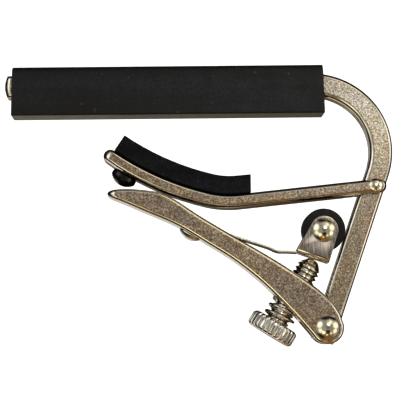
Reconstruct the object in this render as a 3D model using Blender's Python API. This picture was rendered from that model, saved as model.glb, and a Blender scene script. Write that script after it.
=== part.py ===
"""Over-centre guitar capo: a bent bar in a rubber sleeve, a padded jaw, and a lever
whose roller stands on a leaf spring and is set by a thumb screw.

Metres, +Z up. The bar lies along X, and the lever, the jaw and the roller turn about Y.
The origin is the middle of the sleeve's underside, the face that meets the strings.
"""
from math import atan2, ceil, cos, degrees, pi, radians, sin

import bmesh
import bpy
from mathutils import Matrix, Vector

MM = 0.001
FIT_GAP = 0.2 * MM              # clearance between neighbouring pieces
ARC_STEP = 6.0                  # degrees of bend between two points of an outline
ROUND_SIDES = 28                # sides of a turned piece

# Frame bar: straight under the sleeve, bent in two arcs, then a straight leg.
BAR_THICKNESS = 4.65 * MM
BAR_DEPTH = 6.35 * MM
BAR_EDGE = 0.75 * MM
BAR_LEFT_X = -33.3 * MM
BAR_DOME = 0.55 * MM
BAR_CENTRE_Z = 6.25 * MM
BEND_START_X = 29.7 * MM
BEND_RADII = (14.8 * MM, 13.7 * MM)
BEND_TURNS = (-47.3, -61.8)
LEG_PAST_PIVOT = 2.9 * MM

# Rubber sleeve
SLEEVE_LENGTH = 65.0 * MM
SLEEVE_HEIGHT = 10.3 * MM
SLEEVE_BASE_WIDTH = 9.7 * MM
SLEEVE_TOP_WIDTH = 8.6 * MM
SLEEVE_BASE_RADIUS = 0.5 * MM
SLEEVE_TOP_RADIUS = 1.7 * MM
SLEEVE_END_LEAN = 0.25 * MM     # how far the top corners of an end stand back
SLEEVE_BORE_GAP = 0.35 * MM     # above and below the bar, which starts its bend in the sleeve

# Jaw: a flat arm that curves up towards its tip
JAW_PIVOT = (42.75 * MM, -15.2 * MM)
JAW_HEADING = 185.5             # degrees, from the pivot towards the tip
JAW_STRAIGHT = 28.3 * MM
JAW_BENDS = ((6.8 * MM, -19.4), (22.0 * MM, -21.0))
JAW_THICKNESS = 2.85 * MM
JAW_WIDTH = 9.5 * MM
JAW_EDGE = 0.35 * MM
JAW_END_RADIUS = 1.65 * MM
JAW_END_PAST_PIVOT = 0.75 * MM  # centre of the rounded end
JAW_SLOT_DEPTH = 6.5 * MM

# Jaw pad: rubber strip on the arm, with a button pushed through the arm
PAD_HEIGHT = 3.55 * MM
PAD_WIDTH = 9.2 * MM
PAD_EDGE = 0.2 * MM
PAD_FROM_PIVOT = 25.8 * MM      # along the arm
PAD_TO_TIP = 0.1 * MM           # short of the end of the arm's centre line
PLUG_FROM_TIP = 4.53 * MM
PLUG_STEM_RADIUS = 1.5 * MM
PLUG_HEAD_RADIUS = 2.7 * MM
PLUG_HEAD_HEIGHT = 2.3 * MM
PLUG_BARREL = 0.45              # straight share of the head's height

# Lever: outline seen from the front, tip to pivot along the top and back below
LEVER_PIVOT = (32.35 * MM, -44.38 * MM)
LEVER_WIDTH = 9.5 * MM
LEVER_EDGE = 0.5 * MM
LEVER_END_RADIUS = 3.42 * MM
LEVER_END_BLEND = (22, 12)      # degrees left out of the end's arc, above and below
LEVER_TOP = ((-12.8, -16.0), (-11.5, -15.45), (-8.6, -15.3), (-4.9, -15.65), (-1.6, -16.35),
             (1.3, -17.85), (6.2, -21.0), (12.4, -24.75), (18.6, -28.4), (23.6, -31.5),
             (28.0, -34.5), (31.0, -36.8), (33.3, -39.0), (34.9, -41.4))
LEVER_BOTTOM = ((29.3, -46.0), (26.3, -42.45), (22.3, -38.15), (18.2, -34.2), (13.3, -30.3),
                (7.9, -26.85), (1.6, -23.0), (-4.9, -20.1), (-9.2, -18.2), (-12.1, -17.1))
LEVER_SLOT_DEPTH = 5.0 * MM
LEVER_HEADING = 137.0           # degrees, from the pivot towards the tip

# Adjusting screw, its knob and its friction spring. Places along the axis are
# measured from the axis point nearest the origin, and grow towards the knob.
SCREW_TILT = 32.0               # degrees off vertical
SCREW_OFFSET = 41.45 * MM       # from the origin to the axis
SCREW_TIP = 10.55 * MM
SCREW_RADIUS = 2.62 * MM
SCREW_CORE_RADIUS = 2.05 * MM
SCREW_PITCH = 1.0 * MM
SCREW_TIP_RADIUS = 1.1 * MM
SCREW_TIP_CONE = 1.5 * MM
THREAD_SIDES = 14
THREAD_RINGS = 4                # rings of points in each pitch
KNOB_TOP = 24.75 * MM
KNOB_HEIGHT = 3.3 * MM
KNOB_RADIUS = 5.15 * MM
KNOB_ROOT_RADIUS = 4.8 * MM
KNOB_RIM = 0.35 * MM
KNOB_TEETH = 26
KNOB_SOCKET_DEPTH = 2.0 * MM
SPRING_TOP = 20.75 * MM
SPRING_SEAT = 20.2 * MM         # floor of the lever's round seat for the spring
SPRING_SEAT_RADIUS = 3.6 * MM
SPRING_TURNS = 2.3
SPRING_WIRE_RADIUS = 0.3 * MM
SPRING_COIL_RADIUS = 3.05 * MM
SPRING_SIDES = 6
SPRING_STEPS = 16               # pieces of wire in each turn

# Leaf spring: a strip from a channel in the lever's top to the yoke
LEAF_START = (2.7 * MM, -20.1 * MM)
LEAF_HEADING = -30.8
LEAF_RUNS = ((6.4 * MM, 0.0), (1.4 * MM, 12.4), (11.3 * MM, 0.0), (1.2 * MM, -8.0),
             (0.5 * MM, 0.0), (1.6 * MM, 27.4), (2.2 * MM, 0.0))
LEAF_THICKNESS = 0.45 * MM
LEAF_WIDTH = 6.0 * MM
CHANNEL_WIDTH = 6.8 * MM
CHANNEL_DEPTH_BELOW_LEAF = 0.25 * MM
CHANNEL_LENGTH = 21.5 * MM
CHANNEL_START = 0.6 * MM        # before the leaf's root
CHANNEL_CUT_HEIGHT = 4 * MM
LEAF_RIVET_ALONG = 3.6 * MM     # from the strip's root
LEAF_RIVET_RADIUS = 1.1 * MM
LEAF_RIVET_HEAD = 2.35 * MM
LEAF_RIVET_FLAT = 0.4 * MM      # thickness of the flat head over the leaf
LEAF_RIVET_GRIP = 3.2 * MM      # from the leaf's centre line to the lever's underside
LEAF_RIVET_DOME = 1.05 * MM

# Yoke, roller and pin
ROLLER_CENTRE = (32.0 * MM, -24.15 * MM)
ROLLER_RADIUS = 4.5 * MM
ROLLER_WIDTH = 5.3 * MM
ROLLER_EDGE = 0.35 * MM
YOKE_WIDTH = 7.3 * MM
YOKE_SHEET = 0.65 * MM
YOKE_BEND_RADIUS = 1.0 * MM     # outside of the bend
YOKE_EAR_RADIUS = 2.9 * MM
YOKE_CROWN = (8, 160)           # degrees of the ears' round top, from the base's heading
YOKE_BASE = ((26.25 * MM, -28.75 * MM), (32.9 * MM, -31.05 * MM))    # underside, left to right
YOKE_EAR_FOOT = 0.9 * MM        # straight foot of an ear above the underside

# Rivets: dome heads on both sides
ROLLER_PIN_RADIUS = 1.4 * MM
ROLLER_PIN_HEAD = (2.5 * MM, 1.25 * MM)         # radius, height
LEVER_RIVET_RADIUS = 1.6 * MM
LEVER_RIVET_HEAD = (2.5 * MM, 1.25 * MM)
JAW_RIVET_RADIUS = 0.9 * MM
JAW_RIVET_HEAD = (1.5 * MM, 0.7 * MM)

# name: colour, roughness, metallic
FINISHES = {
    "tumbled_nickel": ((0.36, 0.31, 0.26), 0.42, 1.0),
    "polished_nickel": ((0.78, 0.74, 0.66), 0.12, 1.0),
    "spring_steel": ((0.62, 0.59, 0.54), 0.25, 1.0),
    "black_rubber": ((0.012, 0.013, 0.014), 0.65, 0.0),
    "black_nylon": ((0.008, 0.008, 0.009), 0.35, 0.0),
}

FORK_GAP = BAR_DEPTH + 3 * FIT_GAP      # slot in the jaw and the lever, round the bar


# ---------------------------------------------------------------- shared helpers

def clear_scene():
    for old in list(bpy.data.objects):
        bpy.data.objects.remove(old, do_unlink=True)


def make_finish(name):
    colour, roughness, metallic = FINISHES[name]
    finish = bpy.data.materials.new(name)
    finish.use_nodes = True
    shader = finish.node_tree.nodes["Principled BSDF"]
    shader.inputs["Base Color"].default_value = (*colour, 1.0)
    shader.inputs["Roughness"].default_value = roughness
    shader.inputs["Metallic"].default_value = metallic
    return finish


def millimetres(points):
    return [(x * MM, z * MM) for x, z in points]


def follow(start, heading, runs):
    """Walk from start, turning evenly along each run: [(x, z, heading in radians), ...]."""
    x, z = start
    angle = radians(heading)
    path = [(x, z, angle)]
    for length, turn in runs:
        steps = max(1, ceil(abs(turn) / ARC_STEP))
        for _ in range(steps):
            middle = angle + radians(turn) / steps / 2
            x += length / steps * cos(middle)
            z += length / steps * sin(middle)
            angle += radians(turn) / steps
            path.append((x, z, angle))
    return path


def beside(path, offset):
    """The path's points moved to its left by offset."""
    return [(x - offset * sin(a), z + offset * cos(a)) for x, z, a in path]


def arc(centre, radius, first, last):
    """Points from the first to the last angle in degrees, both included."""
    steps = max(2, ceil(abs(last - first) / (2 * ARC_STEP)))
    angles = [radians(first + (last - first) * i / steps) for i in range(steps + 1)]
    return [(centre[0] + radius * cos(a), centre[1] + radius * sin(a)) for a in angles]


def smooth_curve(points, pieces):
    """Catmull-Rom curve through the points, with straight run-outs at both ends."""
    knots = [Vector(p) for p in points]
    knots = [2 * knots[0] - knots[1]] + knots + [2 * knots[-1] - knots[-2]]
    curve = []
    for a, b, c, d in zip(knots, knots[1:], knots[2:], knots[3:]):
        for i in range(pieces):
            t = i / pieces
            curve.append(0.5 * (2 * b + (c - a) * t + (2 * a - 5 * b + 4 * c - d) * t * t
                                + (3 * b - a - 3 * c + d) * t ** 3))
    curve.append(knots[-2])
    return [tuple(p) for p in curve]


def add_object(name, bm, pivot, finish=None):
    """Turn bm, built in world places, into an object whose origin is the pivot."""
    bmesh.ops.recalc_face_normals(bm, faces=bm.faces)
    bmesh.ops.translate(bm, verts=bm.verts, vec=-Vector(pivot))
    mesh = bpy.data.meshes.new(name)
    bm.to_mesh(mesh)
    bm.free()
    mesh.shade_smooth()
    mesh.set_sharp_from_angle(angle=radians(35))
    obj = bpy.data.objects.new(name, mesh)
    bpy.context.collection.objects.link(obj)
    obj.location = pivot
    if finish:
        mesh.materials.append(finish)
    else:
        obj.hide_render = True
        obj.display_type = "WIRE"
    return obj


def prism(name, outline, width, pivot, finish=None):
    """A plate: an outline in X and Z, width thick about the plane Y = 0."""
    bm = bmesh.new()
    front = [bm.verts.new((x, -width / 2, z)) for x, z in outline]
    back = [bm.verts.new((x, width / 2, z)) for x, z in outline]
    bm.faces.new(front)
    bm.faces.new(back)
    for i in range(len(outline)):
        j = (i + 1) % len(outline)
        bm.faces.new((front[i], front[j], back[j], back[i]))
    return add_object(name, bm, pivot, finish)


def skin(name, rings, origin, axis, pivot, finish=None):
    """A round piece from rings of (along, radii); a single radius of 0 closes an end.

    With no closed end the rings join up, last to first, as a bored piece.
    """
    turn = Vector((0, 0, 1)).rotation_difference(Vector(axis)).to_matrix().to_4x4()
    place = Matrix.Translation(Vector(origin)) @ turn
    sides = max(len(radii) for _, radii in rings)
    bm = bmesh.new()
    loops = []
    for along, radii in rings:
        angles = [2 * pi * i / sides for i in range(len(radii))]
        loops.append([bm.verts.new(place @ Vector((r * cos(a), r * sin(a), along)))
                      for r, a in zip(radii, angles)])
    is_bored = all(len(loop) > 1 for loop in loops)
    following = loops[1:] + loops[:1] if is_bored else loops[1:]
    for lower, upper in zip(loops, following):
        for i in range(sides):
            j = (i + 1) % sides
            corners = [lower[i % len(lower)], lower[j % len(lower)],
                       upper[j % len(upper)], upper[i % len(upper)]]
            bm.faces.new(list(dict.fromkeys(corners)))
    return add_object(name, bm, pivot, finish)


def turned(name, profile, origin, axis, pivot, finish=None, sides=ROUND_SIDES):
    """A lathe piece from a profile of (along, radius)."""
    rings = [(along, [radius] * sides if radius else [0]) for along, radius in profile]
    return skin(name, rings, origin, axis, pivot, finish)


def cylinder(name, start, end, radius, finish=None):
    start = Vector(start)
    run = Vector(end) - start
    profile = [(0, 0), (0, radius), (run.length, radius), (run.length, 0)]
    return turned(name, profile, start, run.normalized(), start, finish)


def across(name, centre, radius, width):
    """A cutter along Y through the point centre of the X-Z plane."""
    x, z = centre
    return cylinder(name, (x, -width / 2, z), (x, width / 2, z), radius)


def block(name, corner, heading, length, height, width):
    """A cutter box: from corner, length along heading and height to its left."""
    d = Vector((cos(radians(heading)), sin(radians(heading))))
    left = Vector((-d.y, d.x))
    c = Vector(corner)
    outline = [c, c + d * length, c + d * length + left * height, c + left * height]
    return prism(name, [tuple(p) for p in outline], width, (0, 0, 0))


def combine(obj, other, operation):
    modifier = obj.modifiers.new(other.name, "BOOLEAN")
    modifier.operation = operation
    modifier.solver = "EXACT"
    modifier.object = other


def round_edges(obj, width, segments=2):
    modifier = obj.modifiers.new("round_edges", "BEVEL")
    modifier.width = width
    modifier.segments = segments
    modifier.limit_method = "ANGLE"
    modifier.angle_limit = radians(40)


def spot(point):
    """A pivot on the plane Y = 0."""
    return (point[0], 0, point[1])


def dome(radius, height, rings=4):
    """Profile of a shallow dome from its rim to its top: (height, radius) pairs."""
    ball = (radius ** 2 + height ** 2) / (2 * height)
    reach = atan2(radius, ball - height)
    angles = [reach * (1 - i / rings) for i in range(rings)]
    return [(ball * cos(a) - ball + height, ball * sin(a)) for a in angles] + [(height, 0)]


def rivet(name, centre, shank_radius, head, grip, finish):
    """A rivet along Y whose dome heads stand FIT_GAP off the faces at grip / 2."""
    seat = grip / 2 + FIT_GAP
    half = [(seat, shank_radius)] + [(seat + along, r) for along, r in dome(*head)]
    profile = [(-along, r) for along, r in reversed(half)] + half
    return turned(name, profile, spot(centre), (0, 1, 0), spot(centre), finish)


# ---------------------------------------------------------------- frame and sleeve

def frame_path():
    """Centre line of the bar from its left end to the foot of the leg."""
    bends = [(radius * radians(-turn), turn) for radius, turn in zip(BEND_RADII, BEND_TURNS)]
    start = (BAR_LEFT_X, BAR_CENTRE_Z)
    path = follow(start, 0, [(BEND_START_X - BAR_LEFT_X, 0)] + bends)
    x, z, angle = path[-1]
    to_pivot = (LEVER_PIVOT[0] - x) * cos(angle) + (LEVER_PIVOT[1] - z) * sin(angle)
    return follow(start, 0, [(BEND_START_X - BAR_LEFT_X, 0)] + bends
                  + [(to_pivot + LEG_PAST_PIVOT, 0)])


def end_dome():
    """Points of the bar's bulged left end, from bottom to top."""
    half = BAR_THICKNESS / 2
    return [(BAR_LEFT_X - BAR_DOME * (1 - (z / half) ** 2), BAR_CENTRE_Z + z)
            for z in (-0.6 * half, -0.2 * half, 0.2 * half, 0.6 * half)]


def make_frame_bar(finish):
    path = frame_path()
    outline = (beside(path, BAR_THICKNESS / 2) + beside(path, -BAR_THICKNESS / 2)[::-1]
               + end_dome())
    bar = prism("frame_bar", outline, BAR_DEPTH, (0, 0, 0), finish)
    round_edges(bar, BAR_EDGE)
    for name, centre, radius in (("lever_pivot_hole", LEVER_PIVOT, LEVER_RIVET_RADIUS),
                                 ("jaw_pivot_hole", JAW_PIVOT, JAW_RIVET_RADIUS)):
        combine(bar, across(name, centre, radius + FIT_GAP, 2 * BAR_DEPTH), "DIFFERENCE")


def section(base_width, top_width, low, high, base_radius, top_radius):
    """A closed loop of (y, z) with four rounded corners, the same count for any size."""
    corners = ((base_width / 2 - base_radius, low + base_radius, base_radius, -90),
               (top_width / 2 - top_radius, high - top_radius, top_radius, 0),
               (-top_width / 2 + top_radius, high - top_radius, top_radius, 90),
               (-base_width / 2 + base_radius, low + base_radius, base_radius, 180))
    loop = []
    for y, z, radius, first in corners:
        for i in range(6):
            a = radians(first + 90 * i / 5)
            loop.append((y + radius * cos(a), z + radius * sin(a)))
    return loop


def make_fret_sleeve(finish):
    bore_half = BAR_THICKNESS / 2 + SLEEVE_BORE_GAP
    bore_width = BAR_DEPTH + 2 * FIT_GAP
    outer = section(SLEEVE_BASE_WIDTH, SLEEVE_TOP_WIDTH, 0, SLEEVE_HEIGHT,
                    SLEEVE_BASE_RADIUS, SLEEVE_TOP_RADIUS)
    inner = section(bore_width, bore_width, BAR_CENTRE_Z - bore_half, BAR_CENTRE_Z + bore_half,
                    BAR_EDGE, BAR_EDGE)
    bm = bmesh.new()
    loops = []
    for side in (-1, 1):
        for shape in (outer, inner):
            ends = [side * (SLEEVE_LENGTH / 2 - SLEEVE_END_LEAN * z / SLEEVE_HEIGHT)
                    for _, z in shape]
            loops.append([bm.verts.new((x, y, z)) for x, (y, z) in zip(ends, shape)])
    left_outer, left_inner, right_outer, right_inner = loops
    for a, b in ((left_outer, right_outer), (left_inner, right_inner),
                 (left_outer, left_inner), (right_outer, right_inner)):
        for i in range(len(a)):
            j = (i + 1) % len(a)
            bm.faces.new((a[i], a[j], b[j], b[i]))
    add_object("fret_sleeve", bm, (0, 0, 0), finish)


# ---------------------------------------------------------------- jaw

def jaw_path():
    return follow(JAW_PIVOT, JAW_HEADING, ((JAW_STRAIGHT, 0),) + JAW_BENDS)


def along_jaw(distance_from_tip):
    """Centre-line point and heading at a distance back from the tip."""
    length, turn = JAW_BENDS[-1]
    x, z, angle = jaw_path()[-1]
    back = distance_from_tip / length * turn
    walked = follow((x, z), degrees(angle) + 180, [(distance_from_tip, -back)])
    x, z, angle = walked[-1]
    return x, z, angle - pi


def make_jaw_arm(finish):
    path = jaw_path()
    half = JAW_THICKNESS / 2
    tip_x, tip_z, tip_angle = path[-1]
    tip = arc((tip_x, tip_z), half, degrees(tip_angle) + 90, degrees(tip_angle) - 90)
    end_centre = follow(JAW_PIVOT, JAW_HEADING, [(-JAW_END_PAST_PIVOT, 0)])[-1]
    ear = arc(end_centre, JAW_END_RADIUS, JAW_HEADING - 120, JAW_HEADING - 240)
    outline = beside(path[1:-1], half) + tip + beside(path[1:-1], -half)[::-1] + ear
    arm = prism("jaw_arm", outline, JAW_WIDTH, spot(JAW_PIVOT), finish)
    round_edges(arm, JAW_EDGE)
    heading = radians(JAW_HEADING)
    slot_from = (JAW_PIVOT[0] + JAW_SLOT_DEPTH * cos(heading) - 4 * JAW_THICKNESS * sin(heading),
                 JAW_PIVOT[1] + JAW_SLOT_DEPTH * sin(heading) + 4 * JAW_THICKNESS * cos(heading))
    slot = block("jaw_slot", slot_from, JAW_HEADING + 180, 2 * JAW_SLOT_DEPTH,
                 8 * JAW_THICKNESS, FORK_GAP)
    combine(arm, slot, "DIFFERENCE")
    combine(arm, across("jaw_ear_hole", JAW_PIVOT, JAW_RIVET_RADIUS + FIT_GAP, 2 * JAW_WIDTH),
            "DIFFERENCE")
    x, z, angle = along_jaw(PLUG_FROM_TIP)
    across_arm = Vector((-sin(angle), 0, cos(angle))) * 2 * JAW_THICKNESS
    middle = Vector((x, 0, z))
    hole = cylinder("plug_hole", middle - across_arm, middle + across_arm,
                    PLUG_STEM_RADIUS + FIT_GAP)
    combine(arm, hole, "DIFFERENCE")


def make_jaw_pad(finish):
    """The strip's underside lies along the arm's top, a fit gap above it."""
    start = along_jaw(PAD_TO_TIP)
    straight = JAW_STRAIGHT - PAD_FROM_PIVOT
    right = follow(JAW_PIVOT, JAW_HEADING, [(PAD_FROM_PIVOT, 0)])[-1]
    length, turn = JAW_BENDS[-1]
    kept = 1 - PAD_TO_TIP / length
    path = follow(right[:2], JAW_HEADING,
                  [(straight, 0), JAW_BENDS[0], (length * kept, turn * kept)])
    path[-1] = start
    low = -(JAW_THICKNESS / 2 + FIT_GAP)
    under = beside(path, low)
    top = beside(path, low - PAD_HEIGHT)
    top[0] = (under[0][0], top[0][1])
    pad = prism("jaw_pad", under + top[::-1], PAD_WIDTH, spot(JAW_PIVOT), finish)
    round_edges(pad, PAD_EDGE, 1)
    x, z, angle = along_jaw(PLUG_FROM_TIP)
    down = Vector((-sin(angle), 0, cos(angle)))
    middle = Vector((x, 0, z))
    seat = JAW_THICKNESS / 2 + FIT_GAP
    root = -(seat + PAD_HEIGHT / 2)
    barrel = PLUG_BARREL * PLUG_HEAD_HEIGHT
    cap = dome(PLUG_HEAD_RADIUS, PLUG_HEAD_HEIGHT - barrel)
    profile = [(root, 0), (root, PLUG_STEM_RADIUS), (seat, PLUG_STEM_RADIUS),
               (seat, PLUG_HEAD_RADIUS)] + [(seat + barrel + along, r) for along, r in cap]
    plug = turned("pad_plug", profile, middle, down, middle)
    combine(pad, plug, "UNION")


# ---------------------------------------------------------------- lever

def lever_outline():
    top = smooth_curve(millimetres(LEVER_TOP), 3)
    bottom = smooth_curve(millimetres(LEVER_BOTTOM), 3)
    x, z = LEVER_PIVOT
    first = degrees(atan2(top[-1][1] - z, top[-1][0] - x))
    last = degrees(atan2(bottom[0][1] - z, bottom[0][0] - x))
    end = arc(LEVER_PIVOT, LEVER_END_RADIUS, first - LEVER_END_BLEND[0], last + LEVER_END_BLEND[1])
    return top + end + bottom


def screw_point(along):
    """Point of the screw's axis, in X and Z."""
    tilt = radians(SCREW_TILT)
    return (SCREW_OFFSET * cos(tilt) - along * sin(tilt),
            -SCREW_OFFSET * sin(tilt) - along * cos(tilt))


def screw_axis():
    """Unit vector from the tip towards the knob."""
    tilt = radians(SCREW_TILT)
    return Vector((-sin(tilt), 0, -cos(tilt)))


def leaf_rivet_axis():
    """Point on the leaf's centre line at its rivet, and the unit vector down the rivet."""
    heading = radians(LEAF_HEADING)
    point = Vector((LEAF_START[0] + LEAF_RIVET_ALONG * cos(heading), 0,
                    LEAF_START[1] + LEAF_RIVET_ALONG * sin(heading)))
    return point, Vector((sin(heading), 0, -cos(heading)))


def make_lever_arm(finish):
    arm = prism("lever_arm", lever_outline(), LEVER_WIDTH, spot(LEVER_PIVOT), finish)
    round_edges(arm, LEVER_EDGE)
    heading = radians(LEVER_HEADING)
    reach = 1.5 * LEVER_WIDTH       # past the lever's outline on both sides
    slot_from = (LEVER_PIVOT[0] + LEVER_SLOT_DEPTH * cos(heading) - reach * sin(heading),
                 LEVER_PIVOT[1] + LEVER_SLOT_DEPTH * sin(heading) + reach * cos(heading))
    combine(arm, block("lever_slot", slot_from, LEVER_HEADING + 180, 2 * reach, 2 * reach,
                       FORK_GAP), "DIFFERENCE")
    combine(arm, across("lever_ear_hole", LEVER_PIVOT, LEVER_RIVET_RADIUS + FIT_GAP,
                        2 * LEVER_WIDTH), "DIFFERENCE")
    combine(arm, cylinder("screw_hole", spot(screw_point(SCREW_TIP)),
                          spot(screw_point(KNOB_TOP)), SCREW_RADIUS + FIT_GAP), "DIFFERENCE")
    combine(arm, cylinder("spring_seat", spot(screw_point(SPRING_SEAT)),
                          spot(screw_point(KNOB_TOP + KNOB_HEIGHT)), SPRING_SEAT_RADIUS),
            "DIFFERENCE")
    floor = LEAF_THICKNESS / 2 + CHANNEL_DEPTH_BELOW_LEAF
    path = follow(LEAF_START, LEAF_HEADING, [(-CHANNEL_START, 0)])
    corner = beside(path, -floor)[-1]
    combine(arm, block("leaf_channel", corner, LEAF_HEADING, CHANNEL_LENGTH,
                       CHANNEL_CUT_HEIGHT, CHANNEL_WIDTH), "DIFFERENCE")
    point, down = leaf_rivet_axis()
    combine(arm, cylinder("leaf_rivet_hole", point - down * LEAF_RIVET_GRIP,
                          point + down * 2 * LEAF_RIVET_GRIP,
                          LEAF_RIVET_RADIUS + FIT_GAP), "DIFFERENCE")


def make_leaf_spring(finish):
    path = follow(LEAF_START, LEAF_HEADING, LEAF_RUNS)
    outline = beside(path, LEAF_THICKNESS / 2) + beside(path, -LEAF_THICKNESS / 2)[::-1]
    leaf = prism("leaf_spring", outline, LEAF_WIDTH, spot(LEAF_START), finish)
    point, down = leaf_rivet_axis()
    combine(leaf, cylinder("leaf_hole", point - down * MM, point + down * MM,
                           LEAF_RIVET_RADIUS + FIT_GAP), "DIFFERENCE")


def make_leaf_rivet(finish):
    """Flat head over the leaf, shank through the lever, dome head on its underside."""
    point, down = leaf_rivet_axis()
    leaf_top = -(LEAF_THICKNESS / 2 + FIT_GAP)
    under = LEAF_RIVET_GRIP + FIT_GAP
    profile = [(leaf_top - LEAF_RIVET_FLAT, 0), (leaf_top - LEAF_RIVET_FLAT, LEAF_RIVET_HEAD),
               (leaf_top, LEAF_RIVET_HEAD), (leaf_top, LEAF_RIVET_RADIUS),
               (under, LEAF_RIVET_RADIUS)]
    profile += [(under + along, r) for along, r in dome(LEAF_RIVET_HEAD, LEAF_RIVET_DOME)]
    turned("leaf_rivet", profile, point, down, point, finish)


# ---------------------------------------------------------------- screw, knob, spring

def thread_radius(along, phase):
    """Radius of the screw at a place along it; phase counts pitches round the helix."""
    if along > KNOB_TOP - SCREW_TIP - FIT_GAP:
        return SCREW_CORE_RADIUS
    middle = (SCREW_RADIUS + SCREW_CORE_RADIUS) / 2
    thread = middle + (SCREW_RADIUS - SCREW_CORE_RADIUS) / 2 * cos(2 * pi * phase)
    cone = SCREW_TIP_RADIUS + (SCREW_RADIUS - SCREW_TIP_RADIUS) * along / SCREW_TIP_CONE
    return min(thread, cone)


def make_adjusting_screw(finish):
    length = KNOB_TOP + KNOB_SOCKET_DEPTH - FIT_GAP - SCREW_TIP
    steps = round(length / SCREW_PITCH * THREAD_RINGS)
    rings = [(0, [0])]
    for k in range(steps + 1):
        along = length * k / steps
        radii = [thread_radius(along, along / SCREW_PITCH - i / THREAD_SIDES)
                 for i in range(THREAD_SIDES)]
        rings.append((along, radii))
    rings.append((length, [0]))
    tip = spot(screw_point(SCREW_TIP))
    skin("adjusting_screw", rings, tip, screw_axis(), tip, finish)


def make_thumb_knob(finish):
    """Straight knurl with four points to a tooth, between two plain rims."""
    count = 4 * KNOB_TEETH
    knurl = [KNOB_RADIUS if i % 4 < 2 else KNOB_ROOT_RADIUS for i in range(count)]

    def plain(radius):
        return [radius] * count

    bore = SCREW_CORE_RADIUS + FIT_GAP
    rings = [(KNOB_SOCKET_DEPTH, [0]), (KNOB_SOCKET_DEPTH, plain(bore)), (0, plain(bore)),
             (0, plain(KNOB_ROOT_RADIUS - KNOB_RIM)), (KNOB_RIM / 2, plain(KNOB_ROOT_RADIUS)),
             (KNOB_RIM, knurl), (KNOB_HEIGHT - 1.5 * KNOB_RIM, knurl),
             (KNOB_HEIGHT - KNOB_RIM, plain(KNOB_ROOT_RADIUS)),
             (KNOB_HEIGHT, plain(KNOB_ROOT_RADIUS - 1.5 * KNOB_RIM)), (KNOB_HEIGHT, [0])]
    top = spot(screw_point(KNOB_TOP))
    skin("thumb_knob", rings, top, screw_axis(), top, finish)


def make_screw_spring(finish):
    """A wire swept along a helix round the screw, between the lever and the knob."""
    turn = Vector((0, 0, 1)).rotation_difference(screw_axis()).to_matrix()
    top = Vector(spot(screw_point(SPRING_TOP)))
    bottom = KNOB_TOP - FIT_GAP - SPRING_WIRE_RADIUS
    rise = (bottom - SPRING_TOP) / SPRING_TURNS
    steps = round(SPRING_TURNS * SPRING_STEPS)
    bm = bmesh.new()
    loops = []
    for k in range(steps + 1):
        turns = SPRING_TURNS * k / steps
        a = 2 * pi * turns
        outward = Vector((cos(a), sin(a), 0))
        along = Vector((0, 0, 1))
        centre = outward * SPRING_COIL_RADIUS + along * rise * turns
        loop = []
        for i in range(SPRING_SIDES):
            b = 2 * pi * i / SPRING_SIDES
            offset = (outward * cos(b) + along * sin(b)) * SPRING_WIRE_RADIUS
            loop.append(bm.verts.new(top + turn @ (centre + offset)))
        loops.append(loop)
    bm.faces.new(loops[0])
    bm.faces.new(loops[-1])
    for lower, upper in zip(loops, loops[1:]):
        for i in range(SPRING_SIDES):
            j = (i + 1) % SPRING_SIDES
            bm.faces.new((lower[i], lower[j], upper[j], upper[i]))
    add_object("screw_spring", bm, tuple(top), finish)


# ---------------------------------------------------------------- yoke and roller

def channel_section():
    """The yoke's folded sheet seen along its base: (y, height) round the U."""
    outer = YOKE_WIDTH / 2
    inner_bend = YOKE_BEND_RADIUS - YOKE_SHEET
    tall = 2 * ROLLER_RADIUS + YOKE_EAR_RADIUS     # trimmed to the ears' outline
    centre = (outer - YOKE_BEND_RADIUS, YOKE_BEND_RADIUS)
    outside = arc(centre, YOKE_BEND_RADIUS, -90, 0) + [(outer, tall)]
    inside = [(outer - YOKE_SHEET, tall)] + arc(centre, inner_bend, 0, -90)
    half = outside + inside
    return half + [(-y, height) for y, height in half[::-1]]


def make_roller_yoke(finish):
    """A folded channel trimmed to the ears' outline and bored for the pin."""
    (left_x, left_z), (right_x, right_z) = YOKE_BASE
    base = Vector((right_x - left_x, 0, right_z - left_z))
    d = base.normalized()
    up = Vector((-d.z, 0, d.x))
    start = Vector(spot(YOKE_BASE[0])) - d * MM
    run = base.length + 2 * MM
    bm = bmesh.new()
    ends = [[bm.verts.new(start + d * reach + up * height + Vector((0, y, 0)))
             for y, height in channel_section()] for reach in (0, run)]
    bm.faces.new(ends[0])
    bm.faces.new(ends[1])
    for i in range(len(ends[0])):
        j = (i + 1) % len(ends[0])
        bm.faces.new((ends[0][i], ends[0][j], ends[1][j], ends[1][i]))
    yoke = add_object("roller_yoke", bm, spot(ROLLER_CENTRE), finish)
    left = Vector(spot(YOKE_BASE[0]))
    right = Vector(spot(YOKE_BASE[1]))
    foot = [left - up * MM, left + up * YOKE_EAR_FOOT, right + up * YOKE_EAR_FOOT, right - up * MM]
    lean = degrees(atan2(d.z, d.x))
    crown = arc(ROLLER_CENTRE, YOKE_EAR_RADIUS, lean + YOKE_CROWN[0], lean + YOKE_CROWN[1])
    outline = [(v.x, v.z) for v in (foot[0], foot[3], foot[2])] + crown
    outline.append((foot[1].x, foot[1].z))
    combine(yoke, prism("yoke_outline", outline, 2 * YOKE_WIDTH, (0, 0, 0)), "INTERSECT")
    combine(yoke, across("yoke_pin_hole", ROLLER_CENTRE, ROLLER_PIN_RADIUS + FIT_GAP,
                         2 * YOKE_WIDTH), "DIFFERENCE")


def make_roller(finish):
    half = ROLLER_WIDTH / 2
    bore = ROLLER_PIN_RADIUS + FIT_GAP
    profile = [(-half, bore), (-half, ROLLER_RADIUS - ROLLER_EDGE),
               (-half + ROLLER_EDGE, ROLLER_RADIUS), (half - ROLLER_EDGE, ROLLER_RADIUS),
               (half, ROLLER_RADIUS - ROLLER_EDGE), (half, bore)]
    centre = spot(ROLLER_CENTRE)
    turned("roller", profile, centre, (0, 1, 0), centre, finish)


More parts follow.
